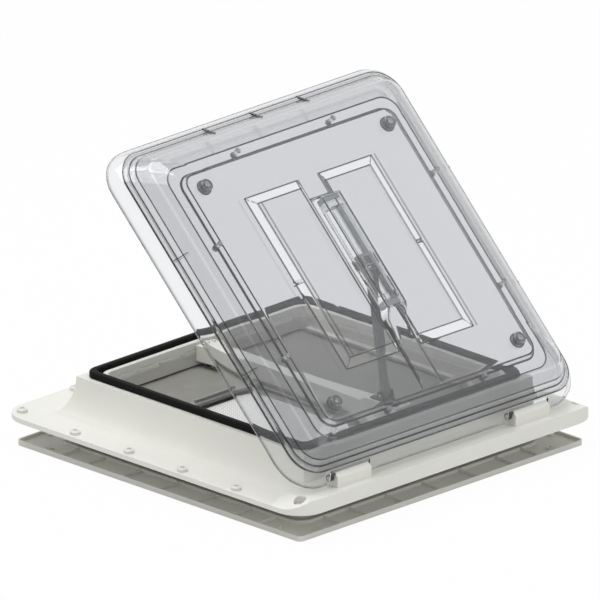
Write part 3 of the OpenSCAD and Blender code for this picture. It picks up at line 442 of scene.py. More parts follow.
def formed(name, across, along, middle, rings):
    """A sheet from a grid over its middle, with rings of its edge points stepping outward.

    middle(u, v) gives x, y, height and bend, and a ring is half x, half y, radius, height, shift and bend.
    Bend above 0 is painted as a dark line of shade, and below 0 as a white highlight."""
    made = bmesh.new()
    bend = made.verts.layers.float.new("bend")

    def vert(x, y, z, amount):
        point = made.verts.new((x, y, z))
        point[bend] = amount
        return point

    rows = [[vert(*middle(u, v)) for u in across] for v in along]
    last_x, last_y = len(across) - 1, len(along) - 1
    for j in range(last_y):
        for i in range(last_x):
            corners = [rows[j][i], rows[j][i + 1], rows[j + 1][i + 1], rows[j + 1][i]]
            falling = (across[i] + across[i + 1]) * (along[j] + along[j + 1]) < 0
            made.faces.new(corners[1:] + corners[:1] if falling else corners)
    edge = [(i, 0) for i in range(last_x)] + [(last_x, j) for j in range(last_y)]
    edge += [(last_x - i, last_y) for i in range(last_x)] + [(0, last_y - j) for j in range(last_y)]
    before = [rows[j][i] for i, j in edge]
    for half_x, half_y, radius, height, shift, amount in rings:
        now = []
        for i, j in edge:
            x, y = edge_point(across[i], along[j], half_x, half_y, radius)
            now.append(vert(x, y + shift, height, amount))
        for k in range(len(edge)):
            after = (k + 1) % len(edge)
            made.faces.new((before[k], now[k], now[after], before[after]))
        before = now
    bmesh.ops.recalc_face_normals(made, faces=made.faces)
    made.normal_update()
    if sum(f.normal.z * f.calc_area() for f in made.faces) < 0:
        bmesh.ops.reverse_faces(made, faces=made.faces)
    return new_piece(name, made)


# Cast acrylic: IOR 1.49, a polished skin and a faint grey in the mass, which
# darkens where a face is seen edge-on. Bends and rims are painted as dark lines of
# shade, and a bevel turned to the light is painted white as a highlight. Bend is above 0
# for the painted shade and below 0 for the painted highlight.
# Most of a shadow ray passes, because a clear lid throws almost no shadow.
SHADOW_PASS = 0.78


def acrylic(name, clear, edge_shade, rough, through=1.0):
    """A clear plastic, from its tint where it is thin to its tint where it is seen edge-on;
    marked lines are painted with the dark tint as shade, and faces marked below 0 white as a highlight.
    """
    made, tree = finish_tree(name)
    bends = add(tree, "ShaderNodeAttribute", attribute_name="bend")
    line_shade = add(tree, "ShaderNodeMapRange", {"Value": bends.outputs["Fac"], "From Min": 0.22, "From Max": 0.72})
    edge_on = add(tree, "ShaderNodeLayerWeight", {"Blend": 0.3})
    grazing = add(tree, "ShaderNodeMapRange", {
        "Value": edge_on.outputs["Facing"], "From Min": 0.4, "From Max": 0.95, "To Min": 0.0, "To Max": 0.6})
    # The dark tint's share: the painted shade along marked lines, and the darkening of a face seen edge-on
    thick = add(tree, "ShaderNodeMath", {0: line_shade.outputs[0], 1: grazing.outputs[0]}, operation="MAXIMUM")
    tint = add(tree, "ShaderNodeMix", {0: thick.outputs[0], 6: linear(clear), 7: linear(edge_shade)}, data_type="RGBA")
    # Faces marked below 0 are painted white, as a highlight
    painted_highlight = add(tree, "ShaderNodeMath", {0: bends.outputs["Fac"], 1: -1.0}, operation="MULTIPLY",
                    use_clamp=True)
    tint = add(tree, "ShaderNodeMix", {0: painted_highlight.outputs[0], 6: tint.outputs[2], 7: linear("#ffffff")},
               data_type="RGBA")
    place = add(tree, "ShaderNodeTexCoord")
    wave = add(tree, "ShaderNodeTexNoise", {"Vector": place.outputs["Object"], "Scale": 9.0, "Detail": 1.0})
    polish = add(tree, "ShaderNodeBump", {"Height": wave.outputs["Fac"], "Strength": 0.03, "Distance": 0.001})
    path = add(tree, "ShaderNodeLightPath")
    solid = add(tree, "ShaderNodeMath", {0: path.outputs["Is Shadow Ray"], 1: -SHADOW_PASS, 2: 1.0},
                operation="MULTIPLY_ADD")
    glass = add(tree, "ShaderNodeBsdfPrincipled", {
        "Base Color": tint.outputs[2], "Roughness": rough, "IOR": 1.49, "Transmission Weight": through,
        "Normal": polish.outputs[0], "Alpha": solid.outputs[0]})
    add(tree, "ShaderNodeOutputMaterial", {"Surface": glass.outputs[0]})
    return made


PANE_WALL = 0.0025
PANE_HALF, PANE_UP, PANE_Y = 0.168, 0.047, -0.006
FIELD_X, FIELD_IN, FIELD_Y, FIELD_MIDDLE = 0.105, 0.0185, 0.120, 0.003
FIELD_UP, FIELD_BEVEL, STEP_RUN = 0.003, 0.0115, 0.0012
FIELD_TOP_X, FIELD_TOP_Y = FIELD_X - FIELD_BEVEL, FIELD_Y - FIELD_BEVEL
RIB_HALF, RIB_LINE, RIB_SHORT = 0.0026, 0.0025, 0.0004
CHANNEL_X, CHANNEL_END, CHANNEL_FOOT = 0.0165, 0.089, 0.096
# The channel's roof: a place along it and its height
channel_top = [(-0.165, PANE_UP), (-0.158, 0.0495), (-0.110, 0.0510), (-0.079, 0.0550), (-0.068, 0.0658),
               (CHANNEL_END, 0.0658), (CHANNEL_FOOT, PANE_UP)]
# Parts of the channel's wall and of the fields' bevels are open to the light, and are
# painted white there as a highlight
WALL_HIGHLIGHT, WALL_HIGHLIGHT_Y, BEVEL_HIGHLIGHT_INSET = (0.0001, 0.0017), (-0.07, 0.095), 0.0006
# A grid point this near to a line is on it
ON_LINE = 0.0003
# The fields' bends on the sheet's far side: x, reach along y and strength of the dark
# line painted there as shade
under_lines = [(FIELD_X + 0.006, FIELD_Y, 0.7), (-FIELD_TOP_X + 0.006, FIELD_TOP_Y, 0.9),
               (FIELD_TOP_X - 0.004, FIELD_TOP_Y, 0.42), (-FIELD_X - 0.010, FIELD_Y, 0.42)]


def along_line(points, at):
    """The height of a line of points at a place along it."""
    for (a, low), (b, high) in zip(points, points[1:]):
        if a <= at <= b:
            return low + (high - low) * (at - a) / (b - a)
    return points[0][1]


def pane_middle(u, v):
    """The pane's place, height and bend. Bend is 1 on a line, painted dark as shade,
    and -1 on a face open to the light, painted white as a highlight.
    """
    x, y = abs(u) * PANE_HALF, v * PANE_HALF
    off_middle = abs(y - FIELD_MIDDLE)
    from_edge = min(FIELD_X - x, FIELD_Y - off_middle)
    raised = max(0, min(1, from_edge / FIELD_BEVEL, (x - FIELD_IN) / STEP_RUN))
    rib = off_middle < RIB_HALF and FIELD_TOP_X <= x <= FIELD_X - RIB_SHORT
    height = PANE_UP + FIELD_UP * (1 if rib else raised)
    ridge = along_line(channel_top, y)
    share = max(0, min(1, (CHANNEL_X - x) / STEP_RUN))
    height = max(height, PANE_UP + (ridge - PANE_UP) * share)
    inside = x > FIELD_IN - ON_LINE and from_edge > -ON_LINE
    lines = [1]
    if inside:
        lines += [abs(FIELD_X - x), abs(x - FIELD_IN), abs(FIELD_Y - off_middle)]
        if from_edge >= FIELD_BEVEL - ON_LINE:
            lines.append(abs(FIELD_TOP_X - x))
        if x < FIELD_TOP_X + ON_LINE:
            lines.append(abs(FIELD_TOP_Y - off_middle))
        if x > FIELD_TOP_X:
            lines.append(abs(FIELD_X - x - (FIELD_Y - off_middle)))
    if y < FIELD_MIDDLE + FIELD_Y + ON_LINE:
        lines.append(abs(x - CHANNEL_X))
    if x < CHANNEL_X:
        lines += [abs(y - CHANNEL_END), abs(y - CHANNEL_FOOT)]
    bent = 1.0 if min(lines) < ON_LINE or (rib and abs(off_middle - RIB_LINE) < ON_LINE) else 0.0
    on_bevel = inside and BEVEL_HIGHLIGHT_INSET < from_edge < FIELD_BEVEL - BEVEL_HIGHLIGHT_INSET
    on_wall = WALL_HIGHLIGHT[0] < CHANNEL_X - x < WALL_HIGHLIGHT[1] and WALL_HIGHLIGHT_Y[0] < y < WALL_HIGHLIGHT_Y[1]
    bent = -1.0 if on_bevel and not bent or on_wall else bent
    for place, reach, strength in under_lines:
        if abs(u * PANE_HALF - place) < ON_LINE and off_middle < reach + ON_LINE:
            bent = max(bent, strength)
    return u * PANE_HALF, y + PANE_Y, LID_LEVEL + height, bent


def with_shoulders(places, width=0.0015):
    """Lines at each feature, and one close on each side, so that a bend stays a narrow line."""
    return sorted({round(place + shift, 5) for place in places for shift in (-width, 0, width)})


# The grid's lines across and along: at each feature, on the fields' mitres and between
mitre = [FIELD_BEVEL * step / 6 for step in range(1, 6)]
across = with_shoulders([FIELD_X, FIELD_TOP_X] + [abs(place) for place, _, _ in under_lines])
across += [FIELD_X - back for back in mitre]
across += [0.0, 0.007, 0.0128, CHANNEL_X - STEP_RUN, CHANNEL_X - 0.0002, CHANNEL_X, 0.0174, FIELD_IN,
           FIELD_IN + STEP_RUN, 0.0209, 0.04, 0.06, 0.08, 0.1, 0.125, 0.140]
across = both_sides([x / PANE_HALF for x in across] + corner_lines)
along = with_shoulders([FIELD_MIDDLE + side * (FIELD_Y - back) for side in (-1, 1) for back in (0, FIELD_BEVEL)])
along += [FIELD_MIDDLE + side * (FIELD_Y - back) for side in (-1, 1) for back in mitre]
along += [FIELD_MIDDLE + side * out for side in (-1, 1) for out in (0.0012, RIB_LINE, 0.0027, 0.004)]
along += [-0.110, -0.079, -0.068, -0.04, -0.02, 0.02, 0.04, 0.06, 0.0875, CHANNEL_END, CHANNEL_FOOT, 0.0975, 0.131]
along = {y / PANE_HALF for y in along if abs(y) < PANE_HALF * (1 - CORNER_SHARE)}
along = sorted(along | set(both_sides(corner_lines)))
# The wall to the sealing face, that face, and the flare to the rim: half width and
# half length, corner radius, height, how far the ring is shifted, and bend, painted as a
# dark line of shade
pane_rings = [(half_x, half_y, radius, LID_LEVEL + up, shift, bent) for half_x, half_y, radius, up, shift, bent in (
    (0.1722, 0.1722, 0.014, PANE_UP, PANE_Y, 0.0), (0.1728, 0.1728, 0.015, 0.0468, PANE_Y, 1.4),
    (0.1735, 0.1735, 0.0155, 0.0452, PANE_Y, 0.1), (0.1750, 0.1750, 0.0166, 0.0416, PANE_Y, 0.1),
    (0.1764, 0.1764, 0.018, 0.0395, PANE_Y, 1.4), (0.1774, 0.1774, 0.0185, 0.0395, PANE_Y, 0.05),
    (0.1888, 0.1888, 0.0215, 0.0395, PANE_Y, 0.05), (0.1900, 0.1900, 0.022, 0.0393, PANE_Y, 0.9),
    (0.1912, 0.1908, 0.0224, 0.0382, PANE_Y, 0.28), (0.2196, 0.2150, 0.0278, 0.0172, 0.0, 0.28),
    (0.2210, 0.2160, 0.028, 0.0165, 0.0, 0.5), (0.2222, 0.2172, 0.0285, 0.0165, 0.0, 0.1),
    (0.2268, 0.2218, 0.033, 0.0165, 0.0, 0.4))]


def give_wall(piece, wall):
    """Gives a formed sheet its thickness, inward."""
    skin = piece.modifiers.new("wall", "SOLIDIFY")
    skin.thickness = wall
    skin.offset = -1
    skin.use_even_offset = True
    settle(piece, sharp=40)


pane_clear = acrylic("clear cast acrylic, formed pane", "#dfe0e2", "#101213", rough=0.003)
pane = formed("formed_inner_pane", across, along, pane_middle, pane_rings)
give_wall(pane, PANE_WALL)
pane.data.transform(lid_turn)
stand_for(pane, pane_clear, "lid_inner_pane")


# Outer dome: clear acrylic 3 mm thick, vacuum formed over a mould, so its bends
# are soft and its rim is sawn square. Two notches in the hinge edge clear the
# hinge blocks, and small gussets stiffen the step.
DOME_WALL, CROWN_SOFT = 0.003, 0.001
lid_half = (0.240, 0.235)
HINGE_X, HINGE_HALF, EYE_ROOM = 0.148, 0.028, 0.0076
# A notch's size, and how far its middle lies in from the edge and up from the rim
NOTCH_LONG, NOTCH_DEEP, NOTCH_TALL = 0.065, 0.015, 0.0165
NOTCH_IN, NOTCH_UP = 0.0065, 0.00725
# From rim to crown, in millimetres: how far in, how far up and corner radius; then bend,
# which above 0 is painted as a dark line of shade and below 0 as a white highlight
dome_profile = [
    (0, 0, 45, 0.46), (0.4, 2.2, 44.7, 0.46), (0.6, 3.2, 44.5, 0.0), (1.5, 8, 44, -0.3), (6, 15, 40, -0.3),
    (9.8, 18.7, 36.9, 0.0), (10.7, 19.4, 36.2, 1.0), (11.6, 19.8, 35.5, 0.0), (15.9, 21.5, 32.8, 0.0),
    (16.9, 22.1, 32.1, 1.0), (18.0, 23.4, 31.1, -0.4), (20.6, 27.4, 29, -1.0), (21.4, 28.5, 28.3, 0.85),
    (22.2, 29.6, 27.6, 0.24), (31.0, 40.8, 20.4, 0.24), (32.2, 42.1, 19.3, -0.8), (33.2, 43.1, 18.9, -0.6),
    (34.4, 44.2, 18.5, 0.23), (42, 50, 17, 0.23), (58, 57.5, 18, 0.22), (82, 64, 24, 0.1), (115, 68.8, 35, 0.0),
    (150, 70.8, 44, 0.0)]
crown_in, crown_up, crown_radius = [value / 1000 for value in dome_profile[-1][:3]]


def dome_middle(u, v):
    """The crown's place, height and bend: it rises a little more towards its middle."""
    level = max(abs(u), abs(v))
    if level < 1e-6:
        return 0, 0, LID_LEVEL + crown_up + CROWN_SOFT, 0.0
    x, y = edge_point(u / level, v / level, lid_half[0] - crown_in, lid_half[1] - crown_in, crown_radius)
    return x * level, y * level, LID_LEVEL + crown_up + CROWN_SOFT * (1 - level ** 2), 0.0


def add_block(made, centre, size):
    """Adds a box to a bmesh."""
    block = bmesh.ops.create_cube(made, size=1)
    bmesh.ops.transform(made, verts=block["verts"], matrix=Matrix.Translation(centre) @ Matrix.Diagonal((*size, 1)))


dome_lines = both_sides([step * (1 - CORNER_SHARE) / 8 for step in range(8)] + corner_lines)
dome_rings = [(lid_half[0] - inward / 1000, lid_half[1] - inward / 1000, radius / 1000, LID_LEVEL + up / 1000,
               0.0, bent) for inward, up, radius, bent in reversed(dome_profile[:-1])]
dome = formed("formed_outer_dome", dome_lines, dome_lines, dome_middle, dome_rings)
give_wall(dome, DOME_WALL)
cutter = bmesh.new()
for side in (-1, 1):
    from_x = side * HINGE_X - HINGE_HALF - EYE_ROOM
    add_block(cutter, (from_x + NOTCH_LONG / 2, -lid_half[1] + NOTCH_IN, LID_LEVEL + NOTCH_UP),
              (NOTCH_LONG, NOTCH_DEEP, NOTCH_TALL))
notches = new_piece("notch_cutter", cutter)
cut = dome.modifiers.new("notches", "BOOLEAN")
cut.object = notches
cut.solver = "EXACT"
settle(dome, sharp=40)
bpy.data.objects.remove(notches)
dome.data.transform(lid_turn)
dome_clear = acrylic("clear cast acrylic, formed dome", "#ebecee", "#121416", rough=0.002)
stand_for(dome, dome_clear, "lid_outer_dome")

# Copies of a master, each turned by its place's own angle
copy_tree = bpy.data.node_groups.new("copies of a master", "GeometryNodeTree")
face = copy_tree.interface
face.new_socket("Places", in_out="INPUT", socket_type="NodeSocketGeometry")
copy_inputs = {label: face.new_socket(label, in_out="INPUT", socket_type=kind).identifier
               for label, kind in (("Master", "NodeSocketObject"), ("Finish", "NodeSocketMaterial"))}
face.new_socket("Copies", in_out="OUTPUT", socket_type="NodeSocketGeometry")
given = add(copy_tree, "NodeGroupInput").outputs
master = add(copy_tree, "GeometryNodeObjectInfo", {"Object": given["Master"]})
turn = add(copy_tree, "GeometryNodeInputNamedAttribute", {"Name": "turn"}, data_type="FLOAT")
about = add(copy_tree, "ShaderNodeCombineXYZ", {"Z": turn.outputs["Attribute"]})
set_out = add(copy_tree, "GeometryNodeInstanceOnPoints", {
    "Points": given["Places"], "Instance": master.outputs["Geometry"], "Rotation": about.outputs[0]})
plain_mesh = add(copy_tree, "GeometryNodeRealizeInstances", {"Geometry": set_out.outputs[0]})
plain_mesh = add(copy_tree, "GeometryNodeSetMaterial", {
    "Geometry": plain_mesh.outputs[0], "Material": given["Finish"]})
add(copy_tree, "NodeGroupOutput", {"Copies": plain_mesh.outputs[0]})


def copies(name, master, places, finish, node):
    """Sets a master on each place of the closed lid, a point and a turn, and opens them with it."""
    made = bmesh.new()
    turns = made.verts.layers.float.new("turn")
    for point, angle in places:
        made.verts.new(point)[turns] = angle
    piece = new_piece(name, made)
    grow = piece.modifiers.new("copies", "NODES")
    grow.node_group = copy_tree
    grow[copy_inputs["Master"]] = master
    grow[copy_inputs["Finish"]] = finish
    settle(piece, sharp=30)
    bpy.data.objects.remove(master)
    piece.data.transform(lid_turn)
    return stand_for(piece, finish, node)


# A gusset's outline across the step: how far in from the rim and how far up
GUSSET_HALF = 0.0013
gusset_line = [(0.0100, 0.0187), (0.0100, 0.0200), (0.0245, 0.0335), (0.0258, 0.0337), (0.0172, 0.0222)]
made = bmesh.new()
bend = made.verts.layers.float.new("bend")
sides = []
# One face of each gusset is painted dark as shade, the other white as a highlight
for across_at, amount in ((-GUSSET_HALF, 1.0), (GUSSET_HALF, -1.0)):
    sides.append([made.verts.new((-back, across_at, up)) for back, up in gusset_line])
    for vert in sides[-1]:
        vert[bend] = amount
made.faces.new(sides[0])
made.faces.new(list(reversed(sides[1])))
for k in range(len(gusset_line)):
    after = (k + 1) % len(gusset_line)
    made.faces.new((sides[0][after], sides[0][k], sides[1][k], sides[1][after]))
bmesh.ops.recalc_face_normals(made, faces=made.faces)
places = [((x, lid_half[1], LID_LEVEL), math.pi / 2) for x in (-0.078, 0, 0.078)]
places += [((side * lid_half[0], y, LID_LEVEL), 0 if side > 0 else math.pi)
           for side in (-1, 1) for y in (-0.081, 0.081)]
copies("dome_gussets", new_piece("gusset_master", made), places, dome_clear, "lid_outer_dome")


# Bosses, screws and clips between the skins: natural nylon, which is milky and
# half clear. Each boss is screwed up from below, and the clips stand on the
# sealing face against the pane's step, to hold the skins apart.
def turned(tall, profile, sides=24):
    """A turned master from a profile of radius, share of height and bend, closed at both ends.
    Bend above 0 paints a ring dark as shade, and below 0 paints it white as a highlight.
    """
    made = bmesh.new()
    bend = made.verts.layers.float.new("bend")
    rings = []
    for radius, share, amount in profile:
        angles = [math.tau * k / sides for k in range(sides)]
        rings.append([made.verts.new((radius * math.cos(at), radius * math.sin(at), share * tall)) for at in angles])
        for vert in rings[-1]:
            vert[bend] = amount
    for a, b in zip(rings, rings[1:]):
        for k in range(sides):
            after = (k + 1) % sides
            made.faces.new((a[k], a[after], b[after], b[k]))
    made.faces.new(list(reversed(rings[0])))
    made.faces.new(rings[-1])
    return new_piece("turned_master", made)


def feet(node):
    """Where each loose part of a node stands on the closed lid, the middle of its bottom, with no turn."""
    return [(((low.x + high.x) / 2, (low.y + high.y) / 2, low.z), 0.0) for low, high in islands(node, lid_turn)]


# Natural nylon, milky and half clear; the bosses' rings are painted dark as shade and
# their necks painted white as highlights
boss_clear = acrylic("natural nylon, clear in the thin ribs", "#f8fafb", "#5c6063", rough=0.03, through=0.92)
low, high = islands("pane_bosses", lid_turn)[0]
boss = turned(high.z - low.z, [
    (0.0098, 0.0, 1.0), (0.0098, 0.10, 1.0), (0.0068, 0.13, 0.0), (0.0068, 0.33, -0.8), (0.0086, 0.37, 1.0),
    (0.0086, 0.50, 1.0), (0.0066, 0.53, 0.0), (0.0066, 0.68, -0.8), (0.0082, 0.72, 1.0), (0.0080, 0.84, 0.5),
    (0.0072, 0.92, 0.0), (0.0056, 1.0, 1.0), (0.0030, 1.0, 0.0)])
copies("ribbed_bosses", boss, feet("pane_bosses"), boss_clear, "pane_bosses")
screws("pane_screws", zinc, seed=21, head_height=0.003, shank=0.002, upward=False, turn=lid_turn)
# The clips on the hinge side stand nearer the dome's edge, which is lower, so they are short
HINGE_SIDE_Y = -0.17
# The clip's rings with bend above 0 are painted dark as shade
clip_line = [(0.0042, 0.0, 1.0), (0.0042, 0.08, 0.0), (0.0030, 0.12, 1.0), (0.0028, 0.5, 0.0), (0.0028, 0.86, 0.0),
             (0.0036, 0.9, 1.0), (0.0033, 0.97, 0.4), (0.0028, 1.0, 0.0)]
for name, tall, by_hinges in (("spacer_clips_short", 0.0095, True), ("spacer_clips", 0.0138, False)):
    places = [place for place in feet("pane_clips") if (place[0][1] < HINGE_SIDE_Y) == by_hinges]
    copies(name, turned(tall, clip_line, sides=16), places, boss_clear, "pane_clips")


# Slide rail: a milky nylon moulding screwed in the pane's channel, with a slot
# between two flanged walls and a row of teeth. It looks darker where a wall is
# seen down its height. A clip with a black rubber stop closes it at each end.
rail_nylon = acrylic("natural nylon, clear in a thin wall", "#f7f8f9", "#5c6063", rough=0.02)
rounded("slide_rail", rail_nylon, width=0.0003)
# The end clips are too thick to be clear: milky, with a soft gloss
clip_nylon = moulded("natural nylon, end clips", "#cfd2d3", rough=0.34, grain=0.0012, relief=0.00004,
                     drift=0.06, ior=1.53)
rounded("rail_end_clips", clip_nylon, width=0.0004)
# A stop's size, and how far its middle lies in from the clip's outer corner
STOP_SIZE, STOP_IN = (0.0086, 0.003, 0.0046), (0.0045, 0.0016, 0.0024)
made = bmesh.new()
for low, high in islands("rail_end_clips", lid_turn):
    outward = 1 if low.y > 0 else -1
    end_y = high.y if outward > 0 else low.y
    add_block(made, (high.x - STOP_IN[0], end_y - outward * STOP_IN[1], high.z - STOP_IN[2]), STOP_SIZE)
stops = new_piece("rail_stops", made)
edge = stops.modifiers.new("edges", "BEVEL")
edge.width = 0.0007
edge.segments = 3
settle(stops)
stops.data.transform(lid_turn)
stand_for(stops, seal_rubber, "rail_end_clips")


# Slider and latch: the slider carries the arm's upper pin along the rail, and a
# spring-loaded T-shaped latch drops between the rail's teeth to hold the lid.

# Both are thick nylon with a soft gloss: the slider milky, the latch dyed grey
slider_nylon = moulded("natural nylon, slider", "#c3c6c8", rough=0.36, grain=0.0012, relief=0.00004,
                       drift=0.06, ior=1.53)
rounded("arm_slider", slider_nylon, width=0.0004)
latch_nylon = moulded("grey nylon, latch", "#8d9090", rough=0.36, grain=0.0012, relief=0.00004,
                      drift=0.06, ior=1.53)
rounded("slider_latch", latch_nylon, width=0.0004)
rounded("arm_top_pin", zinc, width=0.0003)


# Support arm: one glass-filled nylon strut, eyed at both ends and waisted, on a
# steel pin in the slider above and in the bracket below.

# The glass fibre leaves the grey skin slightly rough, so its highlight is broad
arm_nylon = moulded("mid-grey glass-filled nylon", "#7a7c78", rough=0.4, grain=0.0011, relief=0.00005,
                    drift=0.05, ior=1.53)
rounded("support_arm", arm_nylon, width=0.0008)
rounded("arm_bracket", nylon_dark, width=0.0005)
rounded("arm_foot_pin", zinc, width=0.0003)
screws("bracket_screws", zinc, seed=31, head_height=0.0022, shank=0.0015)


# Bridge: a white ABS beam across the opening that carries the arm's bracket, wide
# at its ends and narrow at its waist, screwed down at four corners.
rounded("bridge", frame_abs, width=0.0009)
screws("bridge_screws", zinc, seed=44, head_height=0.0022, shank=0.0018)


# Inner frame and wall liner: pale grey ABS, duller than the outer frame's. The frame
# is clamped under the roof's lining and is ribbed behind its face. The liner rises
# from it through the roof.
liner_abs = moulded("pale grey ABS, spark-eroded grain", "#c6c5be", rough=0.46, grain=0.0012, relief=0.00006)
# The ribbed back is the same ABS painted a paler tone, as painted light that offsets
# the shade its ribs cast on each other
ribbed_abs_painted_light = moulded("pale grey ABS, ribbed back", "#e0dfd8", rough=0.5, grain=0.0012, relief=0.00006)
rounded("wall_liner", liner_abs, width=0.0007)
rounded("inner_frame", ribbed_abs_painted_light, width=0.0005)


# Fly screen: a grey ABS frame with a middle bar, and PVC-coated glass-fibre mesh
# stretched over it. A real thread is 0.28 mm thick on a 1.4 mm pitch. It is drawn
# on a 3.4 mm pitch, the finest that still shows as a mesh.
rounded("screen_frame", liner_abs, width=0.0006)
# The mesh's coating is pale grey and half matt, with dust in it
THREAD_PITCH, THREAD_SHARE = 0.0034, 0.36
mesh_thread, tree = finish_tree("glass-fibre mesh, PVC-coated")
place = add(tree, "ShaderNodeTexCoord")
split = add(tree, "ShaderNodeSeparateXYZ", {0: place.outputs["Object"]})
threads = []
for axis in ("X", "Y"):
    phase = add(tree, "ShaderNodeMath", {0: split.outputs[axis], 1: THREAD_PITCH}, operation="DIVIDE")
    phase = add(tree, "ShaderNodeMath", {0: phase.outputs[0]}, operation="FRACT")
    phase = add(tree, "ShaderNodeMath", {0: phase.outputs[0], 1: THREAD_SHARE}, operation="LESS_THAN")
    threads.append(phase.outputs[0])
woven = add(tree, "ShaderNodeMath", {0: threads[0], 1: threads[1]}, operation="MAXIMUM")
dust = add(tree, "ShaderNodeTexNoise", {"Vector": place.outputs["Object"], "Scale": 420.0, "Detail": 2.0})
grey = add(tree, "ShaderNodeMix", {0: dust.outputs["Fac"], 6: linear("#a3a3a0"), 7: linear("#d8d8d4")},
           data_type="RGBA")
body = add(tree, "ShaderNodeBsdfPrincipled", {
    "Base Color": grey.outputs[2], "Roughness": 0.6, "IOR": 1.54, "Alpha": woven.outputs[0]})
add(tree, "ShaderNodeOutputMaterial", {"Surface": body.outputs[0]})
net_low, net_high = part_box("fly_screen_net")
net_size = net_high[0] - net_low[0]
made = bmesh.new()
bmesh.ops.create_grid(made, x_segments=24, y_segments=24, size=net_size / 2)
for vert in made.verts:
    vert.co += Vector([(low + high) / 2 for low, high in zip(net_low, net_high)])
net = stand_for(new_piece("stretched_mesh", made), mesh_thread, "fly_screen_net")


# Shades: two blackout cloths of coated polyester, each wound on a spring roller
# at the far side and sewn round a pull bar that slides between guides. The cloth
# is a plain weave of 0.5 mm threads, drawn at 1.6 mm so that it shows.

# The guides are the liner's ABS, a shade paler and smoother where the bars slide
guide_abs = moulded("pale grey ABS, guides", "#cbcbc5", rough=0.4, grain=0.0012, relief=0.00004)
rounded("shade_guides", guide_abs, width=0.0003)
# The coating leaves the cloth matt and grey, with a faint relief of threads, thicker
# yarns here and there and a soft sheen. A wave texture repeats in 0.314 m over its
# scale, and a weave in two threads.
WEAVE_PITCH, WAVE_REPEAT = 0.0016, 0.314
blackout, tree = finish_tree("blackout cloth, coated polyester weave")
place = add(tree, "ShaderNodeTexCoord")
weave = []
for angle in (0.0, math.pi / 2):
    lie = add(tree, "ShaderNodeMapping", {"Vector": place.outputs["Object"], "Rotation": (0, 0, angle)})
    wave = add(tree, "ShaderNodeTexWave", {
        "Vector": lie.outputs[0], "Scale": WAVE_REPEAT / WEAVE_PITCH / 2, "Distortion": 0.4, "Detail": 1.0},
        bands_direction="X")
    weave.append(wave.outputs["Fac"])
cross = add(tree, "ShaderNodeMath", {0: weave[0], 1: weave[1]}, operation="MULTIPLY")
slub = add(tree, "ShaderNodeTexNoise", {"Vector": place.outputs["Object"], "Scale": 36.0, "Detail": 5.0})
worn = add(tree, "ShaderNodeMath", {0: cross.outputs[0], 1: slub.outputs["Fac"]}, operation="ADD")
worn = add(tree, "ShaderNodeMapRange", {"Value": worn.outputs[0], "From Min": 0.2, "From Max": 1.5})
shade_tone = add(tree, "ShaderNodeMix", {0: worn.outputs[0], 6: linear("#7f7e79"), 7: linear("#97968f")},
                 data_type="RGBA")
relief = add(tree, "ShaderNodeBump", {"Height": cross.outputs[0], "Strength": 0.4, "Distance": 0.0002})
body = add(tree, "ShaderNodeBsdfPrincipled", {
    "Base Color": shade_tone.outputs[2], "Roughness": 0.88, "Sheen Weight": 0.15, "Normal": relief.outputs[0]})
add(tree, "ShaderNodeOutputMaterial", {"Surface": body.outputs[0]})
# The bars are near the cloth's own grey, with a soft gloss
bar_nylon = moulded("grey nylon, pull bar", "#8b8c88", rough=0.42, grain=0.0012, relief=0.00005,
                    drift=0.06, ior=1.53)
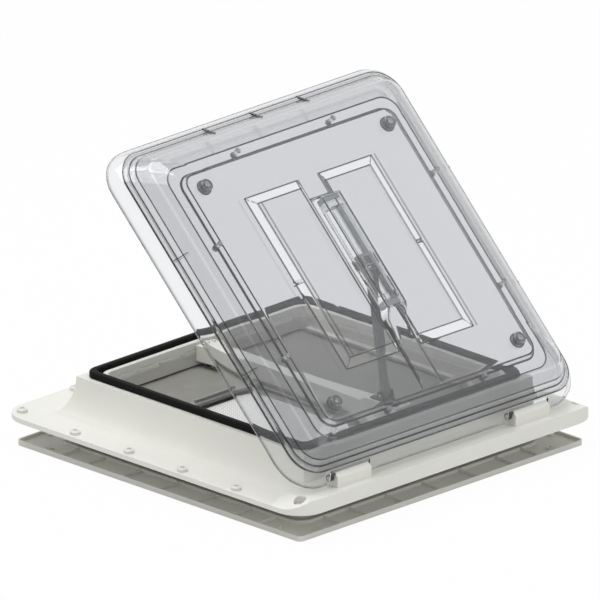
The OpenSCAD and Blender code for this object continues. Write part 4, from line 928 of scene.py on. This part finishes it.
# A drawn tube has fine lines along its length, which streak its gloss
aluminium, tree = finish_tree("drawn aluminium tube")
place = add(tree, "ShaderNodeTexCoord")
drawn = add(tree, "ShaderNodeMapping", {"Vector": place.outputs["Object"], "Scale": (4, 900, 900)})
lines = add(tree, "ShaderNodeTexNoise", {"Vector": drawn.outputs[0], "Scale": 1.0, "Detail": 3.0})
streak = add(tree, "ShaderNodeMapRange", {"Value": lines.outputs["Fac"], "To Min": 0.25, "To Max": 0.5})
pale = add(tree, "ShaderNodeMix", {0: lines.outputs["Fac"], 6: linear("#a9abad"), 7: linear("#c3c5c6")},
           data_type="RGBA")
body = add(tree, "ShaderNodeBsdfPrincipled", {
    "Base Color": pale.outputs[2], "Roughness": streak.outputs[0], "Metallic": 1.0})
add(tree, "ShaderNodeOutputMaterial", {"Surface": body.outputs[0]})

# The rollers' axis, the radius of the wound cloth and how far round it is wound
ROLLER = Vector((0, 0.173, 0.0537))
WRAP = 0.0063
WRAP_TURN = 1.45 * math.pi
# A cloth's grid, its sag, and the height of its ripples and their radians in a metre
ACROSS, ALONG = 16, 90
SAG, RIPPLE, RIPPLE_RATE = 0.0009, 0.00018, 190
for side in ("left", "right"):
    low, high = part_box("shade_cloth_" + side)
    from_bar = ROLLER.y - low[1]
    whole = from_bar + WRAP * WRAP_TURN
    made = bmesh.new()
    rows = []
    for j in range(ALONG + 1):
        gone = whole * j / ALONG
        row = []
        for i in range(ACROSS + 1):
            x = low[0] + (high[0] - low[0]) * i / ACROSS
            if gone < from_bar:
                share = gone / from_bar
                sag = SAG * math.sin(math.pi * share) ** 0.5 * math.sin(math.pi * i / ACROSS)
                wander = 2.4 * math.sin(i * 0.7)
                ripple = RIPPLE * math.sin(gone * RIPPLE_RATE + wander) * math.sin(math.pi * share)
                row.append(made.verts.new((x, low[1] + gone, ROLLER.z + WRAP - sag + ripple)))
            else:
                angle = (gone - from_bar) / WRAP
                row.append(made.verts.new((x, ROLLER.y + WRAP * math.sin(angle), ROLLER.z + WRAP * math.cos(angle))))
        rows.append(row)
    for j in range(ALONG):
        for i in range(ACROSS):
            made.faces.new((rows[j][i], rows[j][i + 1], rows[j + 1][i + 1], rows[j + 1][i]))
    cloth = settle(new_piece("blackout_cloth_" + side, made), sharp=60)
    cloth.data.materials.clear()
    cloth.data.materials.append(blackout)
    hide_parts("shade_cloth_" + side)
    # The left cloth's place is baked into its mesh; the right one is attached to the frame
    # and given a mesh of its own
    if side == "left":
        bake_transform(cloth)
    else:
        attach(cloth, "frame")
        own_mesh(cloth)
    rounded("pull_bar_" + side, bar_nylon, width=0.0005)
    rounded("roller_" + side, aluminium, width=0.0003)
rounded("roller_brackets", zinc, width=0.0003)
